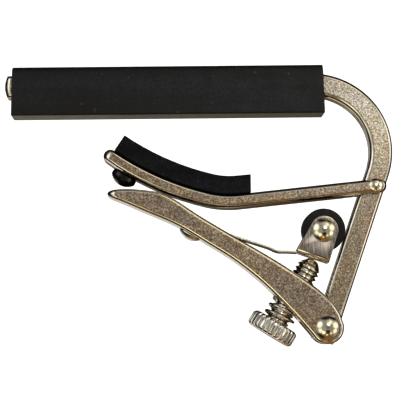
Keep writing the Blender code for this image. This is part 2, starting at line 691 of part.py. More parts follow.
# ---------------------------------------------------------------- assembly

def build():
    clear_scene()
    tumbled = make_finish("tumbled_nickel")
    polished = make_finish("polished_nickel")
    spring_steel = make_finish("spring_steel")
    rubber = make_finish("black_rubber")
    nylon = make_finish("black_nylon")
    make_frame_bar(tumbled)
    make_fret_sleeve(rubber)
    make_jaw_arm(tumbled)
    make_jaw_pad(rubber)
    rivet("jaw_rivet", JAW_PIVOT, JAW_RIVET_RADIUS, JAW_RIVET_HEAD, JAW_WIDTH, polished)
    make_lever_arm(tumbled)
    rivet("lever_rivet", LEVER_PIVOT, LEVER_RIVET_RADIUS, LEVER_RIVET_HEAD, LEVER_WIDTH, polished)
    make_leaf_spring(spring_steel)
    make_leaf_rivet(polished)
    make_adjusting_screw(polished)
    make_thumb_knob(polished)
    make_screw_spring(spring_steel)
    make_roller_yoke(spring_steel)
    make_roller(nylon)
    rivet("roller_pin", ROLLER_CENTRE, ROLLER_PIN_RADIUS, ROLLER_PIN_HEAD, YOKE_WIDTH, polished)


build()
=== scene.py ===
"""Looks of the over-centre guitar capo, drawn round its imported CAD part.

Metres, +Z up. The bar lies along X, and the jaw, the lever and the roller turn about Y.
Each piece stands where its CAD node stands, in finer form: its edges and tips are rounder,
gaps that would show as slivers are closed, and the screw's tip comes up to the yoke.
"""

from math import atan2, ceil, cos, degrees, pi, radians, sin

import bmesh
import bpy
from mathutils import Matrix, Vector


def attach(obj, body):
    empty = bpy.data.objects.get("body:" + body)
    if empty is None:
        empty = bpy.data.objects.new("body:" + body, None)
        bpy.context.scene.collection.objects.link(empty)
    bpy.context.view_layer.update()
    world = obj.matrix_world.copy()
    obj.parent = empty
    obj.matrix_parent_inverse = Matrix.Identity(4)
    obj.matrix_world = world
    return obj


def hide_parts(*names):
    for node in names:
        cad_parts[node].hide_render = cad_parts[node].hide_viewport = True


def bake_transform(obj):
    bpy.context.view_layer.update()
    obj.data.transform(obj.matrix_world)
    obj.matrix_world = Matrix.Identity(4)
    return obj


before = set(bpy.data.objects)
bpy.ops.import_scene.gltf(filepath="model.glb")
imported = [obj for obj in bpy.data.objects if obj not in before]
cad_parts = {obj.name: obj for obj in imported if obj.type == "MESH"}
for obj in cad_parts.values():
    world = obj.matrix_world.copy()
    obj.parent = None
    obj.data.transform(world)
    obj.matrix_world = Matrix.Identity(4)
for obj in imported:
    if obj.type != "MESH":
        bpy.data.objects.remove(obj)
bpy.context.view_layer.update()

MM = 0.001
ARC_STEP = 2.5                  # degrees between two points of a bend
OUTLINE_STEP = 0.3 * MM         # least distance between two points of an outline
CORNER = 25.0                   # degrees of turn that make a corner
EDGE_STEPS = 6                  # rings in a rounded edge
EDGE_BAND = 0.06 * MM           # strip past a rounded edge, which keeps its shading tight
MITRE_LEAST = 0.35              # keeps the mitre of a sharp corner short
SIDE_NORMAL = 0.985             # least Y of a normal on a plate's front or back
NOSE_CUTS = 7                   # steps along a rounded tip
CURVE_STEPS = 10                # points from one knot of a smooth curve to the next
CORNER_STEPS = 8                # steps round a corner of the sleeve
END_STEPS = 5                   # steps round the sleeve's and the roller's edges
DOME_RINGS = 12
ROUND_SIDES = 72
WELD = 0.002 * MM
HOLE_GAP = 0.1 * MM             # between a shank and its hole
PAD_GAP = 0.03 * MM             # between the jaw and its pad

# ---- sizes: the CAD part's, save for roundings and where a comment says
BAR_THICKNESS = 4.65 * MM
BAR_DEPTH = 6.35 * MM
BAR_EDGE = 0.95 * MM
BAR_LEFT_X = -33.3 * MM
BAR_DOME = 0.55 * MM
BAR_CROWN = 0.85                # share of its end that bulges
CROWN_STEPS = 4                 # points from its middle to either side
BAR_NOSE = 1.7 * MM             # length and depth of the rounding at its left end
BAR_NOSE_DROP = 0.6 * MM
BAR_CENTRE_Z = 6.25 * MM
BEND_START_X = 29.7 * MM
BEND_RADII = (14.8 * MM, 13.7 * MM)
BEND_TURNS = (-47.3, -61.8)
LEG_PAST_PIVOT = 2.9 * MM

SLEEVE_LENGTH = 65.0 * MM
SLEEVE_HEIGHT = 10.3 * MM
SLEEVE_BASE_WIDTH = 9.7 * MM
SLEEVE_TOP_WIDTH = 8.6 * MM
SLEEVE_BASE_RADIUS = 0.5 * MM
SLEEVE_TOP_RADIUS = 1.7 * MM
SLEEVE_END_LEAN = 0.25 * MM
SLEEVE_END_RADIUS = 0.3 * MM

JAW_PIVOT = (42.75 * MM, -15.2 * MM)
JAW_HEADING = 185.5
JAW_STRAIGHT = 28.3 * MM
JAW_BENDS = ((6.8 * MM, -19.4), (22.0 * MM, -21.0))
JAW_THICKNESS = 2.85 * MM
JAW_WIDTH = 9.5 * MM
JAW_EDGE = 0.78 * MM
JAW_CROWN = 2.2 * MM            # how far its rounding reaches across the side
JAW_SAG = 0.1 * MM              # its underside is closer to the lever than the CAD's
JAW_END_RADIUS = 1.65 * MM
JAW_END_PAST_PIVOT = 0.75 * MM
JAW_SLOT_DEPTH = 6.5 * MM
FORK_GAP = 6.95 * MM

PAD_HEIGHT = 3.72 * MM          # takes up the CAD's gap under it
PAD_WIDTH = 9.2 * MM
PAD_EDGE = 0.25 * MM
PAD_FROM_PIVOT = 25.8 * MM
PAD_TO_TIP = 0.1 * MM
PLUG_FROM_TIP = 4.53 * MM
PLUG_STEM_RADIUS = 1.5 * MM
PLUG_HEAD_RADIUS = 2.7 * MM
PLUG_HEAD_HEIGHT = 2.46 * MM
PLUG_BARREL = 0.42              # share of that height below its dome
PLUG_CHAMFER = 0.12             # share of that height at its seat

LEVER_PIVOT = (32.35 * MM, -44.38 * MM)
LEVER_WIDTH = 9.5 * MM
LEVER_EDGE = 0.8 * MM
ARM_NOSE = 2.0 * MM             # length and depth of the rounding at both arms' tips
ARM_NOSE_DROP = 1.3 * MM
LEVER_END_RADIUS = 3.42 * MM
LEVER_END_BLEND = (22, 12)      # degrees left to the curve either side of the rounded end
# Millimetres, from the tip to the pivot and back; the top is up to 0.2 closer to the jaw
LEVER_TOP = ((-12.75, -16.0), (-11.5, -15.45), (-8.6, -15.3), (-4.9, -15.6), (-1.6, -16.2),
             (1.3, -17.65), (6.2, -20.95), (12.4, -24.75), (18.6, -28.4), (23.6, -31.5),
             (28.0, -34.5), (31.0, -36.8), (33.3, -39.0), (34.9, -41.4))
LEVER_BOTTOM = ((29.3, -46.0), (26.3, -42.45), (22.3, -38.15), (18.2, -34.2), (13.3, -30.3),
                (7.9, -26.85), (1.6, -23.0), (-4.9, -20.1), (-9.2, -18.2), (-12.1, -17.0))
LEVER_SLOT_DEPTH = 5.0 * MM
LEVER_HEADING = 137.0
LEVER_NOSE_HEADING = -8.0

SCREW_TILT = 32.0
SCREW_OFFSET = 41.45 * MM
SCREW_TIP = 9.8 * MM            # 0.75 closer to the yoke than the CAD's
SCREW_RADIUS = 2.62 * MM
SCREW_CORE_RADIUS = 2.05 * MM
SCREW_PITCH = 1.0 * MM
SCREW_TIP_RADIUS = 0.7 * MM
SCREW_TIP_CONE = 2.2 * MM
SCREW_TIP_BULGE = 0.6           # power that rounds the cone
SCREW_IN_KNOB = 1.8 * MM
SCREW_HOLE_GAP = 0.08 * MM
THREAD_FLANK = 1.18             # steepness, which leaves flats on the crests and roots
THREAD_SINK = 0.09
THREAD_SHADE_SHARE = 0.22              # share of its depth that is painted dark as shade
THREAD_SIDES = 48
THREAD_RINGS = 12
KNOB_TOP = 24.75 * MM
KNOB_HEIGHT = 3.3 * MM
KNOB_RADIUS = 5.15 * MM
KNOB_BORE_DEPTH = 2.0 * MM
KNOB_BORE_GAP = 0.03 * MM
KNOB_CHAMFER = 0.62 * MM
KNOB_GROOVE = 0.4 * MM
KNOB_RIB = 0.45                 # share of a tooth's half that is rib
KNOB_TEETH = 26
TOOTH_STEPS = 12
SPRING_TOP = 20.75 * MM
SPRING_TURNS = 2.3
SPRING_END = 24.3 * MM
SPRING_WIRE_RADIUS = 0.3 * MM
SPRING_COIL_RADIUS = 3.05 * MM
SPRING_STEPS = 40               # rings in a turn of wire
SPRING_SIDES = 12
SPRING_SEAT = 20.2 * MM
SPRING_SEAT_RADIUS = 3.6 * MM

LEAF_START = (2.7 * MM, -20.1 * MM)
LEAF_HEADING = -30.8
LEAF_RUNS = ((6.4 * MM, 0.0), (1.4 * MM, 12.4), (11.3 * MM, 0.0), (1.2 * MM, -8.0),
             (0.5 * MM, 0.0), (1.6 * MM, 27.4), (3.15 * MM, -8.0))
LEAF_THICKNESS = 0.45 * MM
LEAF_WIDTH = 6.0 * MM
LEAF_EDGE = 0.18 * MM
CHANNEL_START = -0.6 * MM
CHANNEL_WIDTH = 6.8 * MM
CHANNEL_HEIGHT = 4.0 * MM
CHANNEL_FLOOR = 0.475 * MM
CHANNEL_LENGTH = 21.5 * MM
LEAF_RIVET_ALONG = 3.6 * MM
LEAF_RIVET_RADIUS = 1.1 * MM
LEAF_RIVET_HEAD = 2.35 * MM
LEAF_RIVET_FLAT = 0.4 * MM
LEAF_RIVET_GRIP = 3.2 * MM
LEAF_RIVET_SINK = 0.15 * MM
LEAF_RIVET_DOME = 1.25 * MM

ROLLER_CENTRE = (32.0 * MM, -24.15 * MM)
ROLLER_RADIUS = 4.5 * MM
ROLLER_WIDTH = 5.3 * MM
ROLLER_EDGE = 0.35 * MM
ROLLER_BORE = 1.6 * MM
YOKE_WIDTH = 7.3 * MM
YOKE_SHEET = 0.65 * MM
YOKE_BEND_RADIUS = 1.0 * MM
YOKE_EAR_RADIUS = 2.9 * MM
YOKE_CROWN = (8, 160)
YOKE_BASE = ((26.25 * MM, -28.75 * MM), (32.9 * MM, -31.05 * MM))
YOKE_EAR_FOOT = 0.9 * MM
YOKE_BEVEL = 0.16 * MM

RIVET_SEAT = 0.02 * MM
HEAD_RIM = 0.14                 # share of a head's height below its dome
HEAD_SEAT = 0.94                # share of its radius that touches
HEAD_CHAMFER = 0.4              # share of its rim that is chamfered
LEVER_RIVET = (1.6 * MM, 2.5 * MM, 1.25 * MM)       # shank radius, head radius, head height
ROLLER_PIN = (1.4 * MM, 2.5 * MM, 1.25 * MM)
JAW_RIVET = (0.9 * MM, 1.5 * MM, 0.7 * MM)


# ------------------------ curves and outlines

def follow(start, heading, runs):
    """Walk from start, turning evenly along each run: [(x, z, heading in radians), ...]."""
    x, z = start
    angle = radians(heading)
    path = [(x, z, angle)]
    for length, turn in runs:
        steps = max(1, ceil(abs(turn) / ARC_STEP))
        for _ in range(steps):
            middle = angle + radians(turn) / steps / 2
            x += length / steps * cos(middle)
            z += length / steps * sin(middle)
            angle += radians(turn) / steps
            path.append((x, z, angle))
    return path


def beside(path, offset):
    """The path moved to its left by offset, or to its right where that is negative."""
    return [(x - offset * sin(a), z + offset * cos(a)) for x, z, a in path]


def arc(centre, radius, first, last, step=2 * ARC_STEP):
    steps = max(2, ceil(abs(last - first) / step))
    angles = [radians(first + (last - first) * i / steps) for i in range(steps + 1)]
    return [(centre[0] + radius * cos(a), centre[1] + radius * sin(a)) for a in angles]


def closed_curve(points):
    """Closed Catmull-Rom curve through the points."""
    knots = [Vector(p) for p in points]
    count = len(knots)
    curve = []
    for k in range(count):
        a, b, c, d = (knots[(k + i) % count] for i in (-1, 0, 1, 2))
        for i in range(CURVE_STEPS):
            t = i / CURVE_STEPS
            curve.append(0.5 * (2 * b + (c - a) * t + (2 * a - 5 * b + 4 * c - d) * t * t
                                + (3 * b - a - 3 * c + d) * t ** 3))
    return [tuple(p) for p in curve]


def thinned(points):
    """The closed outline without points that crowd the one before, save at corners."""
    count = len(points)
    result = [points[0]]
    for i in range(1, count):
        before, here, after = (Vector(points[(i + k) % count]) for k in (-1, 0, 1))
        turn = abs(degrees((here - before).angle_signed(after - here, 0.0)))
        gap = (here - Vector(result[-1])).length
        if turn > CORNER:
            if gap < OUTLINE_STEP / 2 and len(result) > 1:
                result.pop()
            result.append(points[i])
        elif gap >= OUTLINE_STEP and (here - Vector(points[0])).length >= OUTLINE_STEP / 2:
            result.append(points[i])
    return result


def spot(point):
    return (point[0], 0, point[1])


# ------------------------ meshes

def make_object(name, bm):
    bmesh.ops.remove_doubles(bm, verts=bm.verts, dist=1e-7)
    bmesh.ops.recalc_face_normals(bm, faces=bm.faces)
    mesh = bpy.data.meshes.new(name)
    bm.to_mesh(mesh)
    bm.free()
    obj = bpy.data.objects.new(name, mesh)
    bpy.context.scene.collection.objects.link(obj)
    return obj


def loft(bm, loops, is_closed=False):
    """Quads between neighbouring loops of equal length; a loop of one point is a tip."""
    following = loops[1:] + loops[:1] if is_closed else loops[1:]
    for lower, upper in zip(loops, following):
        sides = max(len(lower), len(upper))
        if sides == 1:
            continue
        for i in range(sides):
            j = (i + 1) % sides
            corners = [lower[i % len(lower)], lower[j % len(lower)],
                       upper[j % len(upper)], upper[i % len(upper)]]
            bm.faces.new(list(dict.fromkeys(corners)))


def capped(name, bm, loops):
    """The solid that runs through the loops, closed at its first and its last."""
    loft(bm, loops)
    bm.faces.new(loops[0])
    bm.faces.new(loops[-1])
    return make_object(name, bm)


def inset(outline, depth):
    """The closed outline moved inwards by depth, mitred at its corners."""
    count = len(outline)
    area = sum(outline[i][0] * outline[(i + 1) % count][1]
               - outline[(i + 1) % count][0] * outline[i][1] for i in range(count))
    side = 1 if area > 0 else -1
    moved = []
    for i in range(count):
        before, here, after = (Vector(outline[(i + k) % count]) for k in (-1, 0, 1))
        a = (here - before).normalized()
        b = (after - here).normalized()
        normal_a = Vector((-a.y, a.x)) * side
        normal_b = Vector((-b.y, b.x)) * side
        middle = normal_a + normal_b
        middle /= max(middle.dot(normal_a), MITRE_LEAST)
        moved.append(tuple(here + middle * depth))
    return moved


def plate(name, outline, width, edge, reach=None, steps=EDGE_STEPS):
    """A plate in the X-Z plane, width thick about Y = 0. Its rounded edges take edge off
    the outline and reach as far across the side."""
    bm = bmesh.new()
    half = width / 2
    reach = reach or edge
    stations = []
    for k in range(steps + 1):
        a = radians(90 * k / steps)
        stations.append((half - reach + reach * cos(a), edge * (1 - sin(a))))
    stations.append((half - reach - EDGE_BAND, 0.0))
    stations = stations + [(-y, depth) for y, depth in reversed(stations)]
    loops = []
    for y, depth in stations:
        ring = inset(outline, depth) if depth > 1e-9 else outline
        loops.append([bm.verts.new((x, y, z)) for x, z in ring])
    return capped(name, bm, loops)


def round_nose(obj, tip, inward, length, drop):
    """Thin the plate towards its tip, so that its faces curve round it. inward is a heading."""
    end = Vector(spot(tip))
    along = Vector((cos(radians(inward)), 0, sin(radians(inward))))
    half = max(v.co.y for v in obj.data.vertices)
    bm = bmesh.new()
    bm.from_mesh(obj.data)
    for k in range(NOSE_CUTS):
        geometry = bm.verts[:] + bm.edges[:] + bm.faces[:]
        bmesh.ops.bisect_plane(bm, geom=geometry, plane_co=end + along * length * (k + 1) / NOSE_CUTS,
                               plane_no=along)
    for v in bm.verts:
        share = 1 - (v.co - end).dot(along) / length
        if share > 0:
            v.co.y *= 1 - drop / half * share ** 2
    bm.to_mesh(obj.data)
    bm.free()


def prism(name, outline, width):
    bm = bmesh.new()
    loops = [[bm.verts.new((x, y, z)) for x, z in outline] for y in (-width / 2, width / 2)]
    return capped(name, bm, loops)


def skin(name, rings, origin, axis):
    """A round piece from rings of (along, radii); a single radius closes an end."""
    turn = Vector((0, 0, 1)).rotation_difference(Vector(axis)).to_matrix().to_4x4()
    place = Matrix.Translation(Vector(origin)) @ turn
    bm = bmesh.new()
    loops = []
    for along, radii in rings:
        count = len(radii)
        loops.append([bm.verts.new(place @ Vector((r * cos(2 * pi * i / count),
                                                   r * sin(2 * pi * i / count), along)))
                      for i, r in enumerate(radii)])
    loft(bm, loops, is_closed=all(len(loop) > 1 for loop in loops))
    return make_object(name, bm)


def turned(name, profile, origin, axis, sides=ROUND_SIDES):
    rings = [(along, [radius] * sides if radius else [0]) for along, radius in profile]
    return skin(name, rings, origin, axis)


def cylinder(name, start, end, radius):
    start = Vector(start)
    run = Vector(end) - start
    profile = [(0, 0), (0, radius), (run.length, radius), (run.length, 0)]
    return turned(name, profile, start, run.normalized())


def rivet_hole(name, centre, sizes, width):
    x, z = centre
    return cylinder(name, (x, -width, z), (x, width, z), sizes[0] + HOLE_GAP)


def block(name, corner, heading, length, height, width):
    d = Vector((cos(radians(heading)), sin(radians(heading))))
    left = Vector((-d.y, d.x))
    c = Vector(corner)
    outline = [c, c + d * length, c + d * length + left * height, c + left * height]
    return prism(name, [tuple(p) for p in outline], width)


def fork_slot(name, pivot, heading, depth, length, reach):
    """The gap between a fork's ears, from depth along the arm back past its end."""
    a = radians(heading)
    corner = (pivot[0] + depth * cos(a) - reach * sin(a),
              pivot[1] + depth * sin(a) + reach * cos(a))
    return block(name, corner, heading + 180, length, 2 * reach, FORK_GAP)


def apply_modifiers(obj):
    depsgraph = bpy.context.evaluated_depsgraph_get()
    mesh = bpy.data.meshes.new_from_object(obj.evaluated_get(depsgraph))
    obj.modifiers.clear()
    old = obj.data
    obj.data = mesh
    bpy.data.meshes.remove(old)


def cut(obj, *others, operation="DIFFERENCE"):
    """Combine obj with the others, which are then removed. It is done at a larger scale,
    where the solver's own tolerance is small beside the pieces."""
    for piece in (obj, *others):
        piece.data.transform(Matrix.Scale(1 / MM, 4))
    for other in others:
        modifier = obj.modifiers.new(other.name, "BOOLEAN")
        modifier.operation = operation
        modifier.solver = "EXACT"
        modifier.object = other
    bpy.context.view_layer.update()
    apply_modifiers(obj)
    obj.data.transform(Matrix.Scale(MM, 4))
    bm = bmesh.new()
    bm.from_mesh(obj.data)
    bmesh.ops.remove_doubles(bm, verts=bm.verts, dist=WELD)
    bmesh.ops.dissolve_degenerate(bm, edges=bm.edges, dist=WELD)
    bm.to_mesh(obj.data)
    bm.free()
    for other in others:
        bpy.data.objects.remove(other, do_unlink=True)


def shade(obj, angle=32.0, flat_faces=True):
    """Smooth shading with sharp creases; the broad front and back faces stay flat."""
    mesh = obj.data
    mesh.shade_smooth()
    mesh.set_sharp_from_angle(angle=radians(angle))
    if flat_faces:
        for face in mesh.polygons:
            if abs(face.normal.y) > 0.999:
                face.use_smooth = False


def dome(radius, height):
    """Profile of a cap cut from a ball, from its rim to its top."""
    ball = (radius ** 2 + height ** 2) / (2 * height)
    reach = atan2(radius, ball - height)
    angles = [reach * (1 - i / DOME_RINGS) for i in range(DOME_RINGS)]
    return [(ball * cos(a) - ball + height, ball * sin(a)) for a in angles] + [(height, 0)]


def domed_head(seat, head_radius, head_height):
    """Profile of a rivet head: short rim, then a dome."""
    rim = HEAD_RIM * head_height
    return ([(seat, HEAD_SEAT * head_radius), (seat + HEAD_CHAMFER * rim, head_radius)]
            + [(seat + rim + along, r) for along, r in dome(head_radius, head_height - rim)])


def rivet(name, centre, sizes, grip):
    shank, head_radius, head_height = sizes
    seat = grip / 2 + RIVET_SEAT
    half = [(seat, shank)] + domed_head(seat, head_radius, head_height)
    profile = [(-along, r) for along, r in reversed(half)] + half
    obj = turned(name, profile, spot(centre), (0, 1, 0))
    shade(obj, 50, False)
    return obj


# ------------------------ materials

class Nodes:
    """Short-hand for building one material's node tree."""

    def __init__(self, name):
        self.material = bpy.data.materials.new(name)
        self.material.use_nodes = True
        self.tree = self.material.node_tree
        self.shader = self.tree.nodes["Principled BSDF"]
        self.place = self.add("ShaderNodeTexCoord").outputs["Object"]

    def add(self, kind, **values):
        node = self.tree.nodes.new(kind)
        for key, value in values.items():
            setattr(node, key, value)
        return node

    def link(self, a, b):
        self.tree.links.new(a, b)

    def stretched(self, scale, turn=0.0):
        """Coordinates scaled per axis after a turn about Y, in degrees."""
        mapping = self.add("ShaderNodeMapping")
        mapping.inputs["Scale"].default_value = scale
        mapping.inputs["Rotation"].default_value = (0, radians(turn), 0)
        self.link(self.place, mapping.inputs["Vector"])
        return mapping.outputs["Vector"]

    def noise(self, scale, detail=3.0, roughness=0.55, vector=None):
        node = self.add("ShaderNodeTexNoise")
        node.inputs["Scale"].default_value = scale
        node.inputs["Detail"].default_value = detail
        node.inputs["Roughness"].default_value = roughness
        self.link(vector or self.place, node.inputs["Vector"])
        return node.outputs["Fac"]

    def ramp(self, factor, stops):
        node = self.add("ShaderNodeValToRGB")
        elements = node.color_ramp.elements
        while len(elements) < len(stops):
            elements.new(0.5)
        for element, (position, value) in zip(elements, stops):
            element.position = position
            element.color = (*value, 1.0) if isinstance(value, tuple) else (value, value, value, 1.0)
        self.link(factor, node.inputs["Fac"])
        return node.outputs["Color"]

    def mix(self, factor, a, b, blend="MIX"):
        node = self.add("ShaderNodeMix", data_type="RGBA", blend_type=blend)
        if isinstance(factor, float):
            node.inputs["Factor"].default_value = factor
        else:
            self.link(factor, node.inputs["Factor"])
        for socket, value in ((node.inputs[6], a), (node.inputs[7], b)):
            if isinstance(value, tuple):
                socket.default_value = (*value, 1.0)
            else:
                self.link(value, socket)
        return node.outputs[2]

    def bump(self, height, strength, distance):
        node = self.add("ShaderNodeBump")
        node.inputs["Strength"].default_value = strength
        node.inputs["Distance"].default_value = distance
        self.link(height, node.inputs["Height"])
        return node.outputs["Normal"]

    def finish(self, colour=None, roughness=None, normal=None, **uniform):
        for socket, value in (("Base Color", colour), ("Roughness", roughness), ("Normal", normal)):
            if value is None:
                continue
            self.link(value, self.shader.inputs[socket])
        for key, value in uniform.items():
            self.shader.inputs[key.replace("_", " ")].default_value = value
        return self.material


def tumbled_face(name="tumbled_face", painted_light_spot=None):
    """Nickel plate tumbled with stones: a fine olive-brown mottle with brighter specks.
    Round a given spot, a centre and a radius, the plate is painted lighter: a painted pool of light."""
    n = Nodes(name)
    fine = n.noise(3100, 3.0, 0.75)
    blotch = n.noise(700, 3.0, 0.6)
    cloud = n.noise(130, 2.0, 0.5)
    base = n.ramp(fine, [(0.33, (0.110, 0.080, 0.056)), (0.5, (0.365, 0.296, 0.220)),
                         (0.67, (0.92, 0.82, 0.65))])
    warm = n.ramp(blotch, [(0.38, (0.90, 0.86, 0.82)), (0.62, (1.08, 1.06, 1.02))])
    colour = n.mix(1.0, base, warm, "MULTIPLY")
    tint = n.ramp(n.noise(1700, 1.0), [(0.36, (0.95, 1.03, 0.90)), (0.5, (1.0, 1.0, 1.0)),
                                       (0.64, (1.08, 0.96, 1.02))])
    colour = n.mix(1.0, colour, tint, "MULTIPLY")
    wide = n.ramp(cloud, [(0.4, (0.95, 0.95, 1.0)), (0.6, (1.05, 1.0, 0.93))])
    colour = n.mix(1.0, colour, wide, "MULTIPLY")
    # Painted light: lighter round the spot, a pool of light painted onto the plate
    if painted_light_spot:
        centre, radius = painted_light_spot
        mapping = n.add("ShaderNodeMapping", vector_type="TEXTURE")
        mapping.inputs["Location"].default_value = centre
        mapping.inputs["Scale"].default_value = (radius, radius, radius)
        n.link(n.place, mapping.inputs["Vector"])
        ball = n.add("ShaderNodeTexGradient", gradient_type="QUADRATIC_SPHERE")
        n.link(mapping.outputs["Vector"], ball.inputs["Vector"])
        painted_light = n.ramp(ball.outputs["Fac"], [(0.0, (1.0, 1.0, 1.0)), (0.7, (1.50, 1.72, 1.92))])
        colour = n.mix(1.0, colour, painted_light, "MULTIPLY")
    speck = n.ramp(n.noise(1700, 2.0, 0.5), [(0.66, 0.0), (0.72, 1.0)])
    colour = n.mix(speck, colour, (0.80, 0.76, 0.68))
    rough = n.ramp(blotch, [(0.35, 0.36), (0.65, 0.50)])
    normal = n.bump(fine, 0.35, 0.012 * MM)
    return n.finish(colour, rough, normal, Metallic=1.0)


def grained(name, low, high, gloss, grain=1900, cloud=900, relief=(0.1, 0.006 * MM), metallic=1.0):
    """A fine grain between two colours, and a roughness that clouds between two values."""
    n = Nodes(name)
    fine = n.noise(grain, 3.0, 0.6)
    colour = n.ramp(fine, [(0.35, low), (0.65, high)])
    rough = n.ramp(n.noise(cloud, 2.0), [(0.35, gloss[0]), (0.65, gloss[1])])
    return n.finish(colour, rough, n.bump(fine, *relief), Metallic=metallic)


def bright_dome():
    n = Nodes("bright_dome")
    cloud = n.noise(900, 2.0)
    colour = n.ramp(cloud, [(0.35, (0.72, 0.65, 0.47)), (0.65, (0.88, 0.83, 0.66))])
    rough = n.ramp(n.noise(1700, 3.0), [(0.35, 0.06), (0.7, 0.14)])
    normal = n.bump(n.noise(620, 2.0), 0.5, 0.05 * MM)
    return n.finish(colour, rough, normal, Metallic=1.0)


def rolled_steel():
    """Bright sheet with fine rolling lines."""
    n = Nodes("rolled_steel")
    lines = n.noise(900, 3.0, 0.6, n.stretched((6.0, 1.0, 0.35), 19.0))
    colour = n.ramp(lines, [(0.3, (0.18, 0.145, 0.115)), (0.52, (0.43, 0.37, 0.305)),
                            (0.75, (0.80, 0.75, 0.67))])
    rough = n.ramp(lines, [(0.35, 0.22), (0.65, 0.36)])
    return n.finish(colour, rough, n.bump(lines, 0.3, 0.012 * MM), Metallic=1.0)


def spring_wire():
    n = Nodes("spring_wire")
    fine = n.noise(1800, 2.0)
    colour = n.ramp(fine, [(0.35, (0.50, 0.46, 0.40)), (0.65, (0.74, 0.70, 0.63))])
    rough = n.ramp(fine, [(0.35, 0.16), (0.65, 0.28)])
    return n.finish(colour, rough, n.bump(fine, 0.1, 0.008 * MM), Metallic=1.0)


def moulded_rubber(name="moulded_rubber", sheen=0.35):
    n = Nodes(name)
    fine = n.noise(1900, 4.0, 0.7)
    cloud = n.noise(220, 3.0)
    colour = n.ramp(fine, [(0.33, (0.0010, 0.0015, 0.0030)), (0.67, (0.0098, 0.0109, 0.0144))])
    streaks = n.ramp(n.noise(300, 3.0, 0.6, n.stretched((0.06, 1.0, 1.0))),
                     [(0.40, (0.6, 0.6, 0.6)), (0.62, (1.5, 1.5, 1.5))])
    colour = n.mix(1.0, colour, streaks, "MULTIPLY")
    dust = n.ramp(n.noise(1100, 1.0, 0.5), [(0.735, 0.0), (0.79, 1.0)])
    colour = n.mix(dust, colour, (0.05, 0.05, 0.048))
    rough = n.ramp(cloud, [(0.35, 0.55), (0.65, 0.68)])
    normal = n.bump(fine, 0.35, 0.02 * MM)
    return n.finish(colour, rough, normal, Specular_IOR_Level=sheen)


def plug_rubber():
    """The pad's button comes out of a smooth part of the mould."""
    n = Nodes("plug_rubber")
    fine = n.noise(1500, 3.0)
    colour = n.ramp(fine, [(0.35, (0.003, 0.0033, 0.0036)), (0.65, (0.006, 0.0063, 0.0066))])
    rough = n.ramp(fine, [(0.35, 0.14), (0.65, 0.24)])
    normal = n.bump(n.noise(520, 2.0), 0.5, 0.08 * MM)
    return n.finish(colour, rough, normal, Specular_IOR_Level=0.4)


def satin_nylon():
    n = Nodes("satin_nylon")
    fine = n.noise(1300, 3.0)
    rings = n.noise(700, 2.0, 0.5, n.stretched((1.0, 4.0, 1.0)))
    colour = n.ramp(fine, [(0.35, (0.003, 0.003, 0.0032)), (0.65, (0.007, 0.007, 0.0068))])
    rough = n.ramp(rings, [(0.35, 0.34), (0.65, 0.48)])
    return n.finish(colour, rough, n.bump(fine, 0.15, 0.012 * MM), Specular_IOR_Level=0.22)


TUMBLED = tumbled_face()
# Painted light: the bar's face is painted lighter round the bend
TUMBLED_BAR_PAINTED_LIGHT = tumbled_face("tumbled_bar_painted_light", ((42.0 * MM, 0.0, 0.0), 26.0 * MM))
EDGE = grained("polished_edge", (0.66, 0.60, 0.50), (0.82, 0.77, 0.67), (0.07, 0.15), 1900, 700,
               (0.12, 0.006 * MM))
DOME = bright_dome()
DULL = grained("dull_plate", (0.70, 0.68, 0.63), (0.90, 0.88, 0.84), (0.20, 0.30), 1500, 800,
               (0.15, 0.01 * MM))
THREAD = grained("thread_nickel", (0.84, 0.80, 0.70), (0.98, 0.95, 0.88), (0.05, 0.11))
# Painted shade: dark plate at the bottom of the thread, and on the undersides of the jaw and the
# leaf, where shade falls
THREAD_SHADE = grained("thread_root_painted_shade", (0.16, 0.13, 0.10), (0.33, 0.28, 0.22), (0.25, 0.40))
# Painted shade on the undersides of the jaw and the leaf
UNDER_SHADE = grained("painted_under_shade", (0.035, 0.024, 0.014), (0.10, 0.07, 0.04), (0.25, 0.40))
KNURL = grained("knurled_nickel", (0.74, 0.70, 0.62), (0.93, 0.90, 0.83), (0.09, 0.18), 1500, 800,
                (0.15, 0.01 * MM))
STEEL = rolled_steel()
WIRE = spring_wire()
RUBBER = moulded_rubber()
PAD_RUBBER = moulded_rubber("pad_rubber", 0.12)
# The sleeve's underside, painted lighter than the rest: a painted reflection of bright surroundings
# at a grazing angle
SLEEVE_UNDER_SHEEN = grained("rubber_painted_sheen", (0.10, 0.097, 0.085), (0.17, 0.165, 0.145), (0.36, 0.46), 1700, 400,
               (0.2, 0.015 * MM), metallic=0.0)
PLUG = plug_rubber()
NYLON = satin_nylon()


def paint(obj, *materials, choose=None):
    """Give obj its materials; choose picks one for each face by index."""
    obj.data.materials.clear()
    for material in materials:
        obj.data.materials.append(material)
    for face in obj.data.polygons:
        face.material_index = choose(face) if choose else 0


def face_or_edge(face):
    return 0 if abs(face.normal.y) > SIDE_NORMAL else 1


# Faces that look down get the painted shade
def face_edge_or_shaded_under(face):
    if face.normal.z < -0.3 and abs(face.normal.y) < 0.2:
        return 2
    return face_or_edge(face)


def settle(obj, body, slot, *nodes):
    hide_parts(*nodes)
    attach(obj, body)


# ------------------------ frame and sleeve

def frame_path():
    bends = [(radius * radians(-turn), turn) for radius, turn in zip(BEND_RADII, BEND_TURNS)]
    start = (BAR_LEFT_X, BAR_CENTRE_Z)
    runs = [(BEND_START_X - BAR_LEFT_X, 0)] + bends
    x, z, angle = follow(start, 0, runs)[-1]
    to_pivot = (LEVER_PIVOT[0] - x) * cos(angle) + (LEVER_PIVOT[1] - z) * sin(angle)
    return follow(start, 0, runs + [(to_pivot + LEG_PAST_PIVOT, 0)])


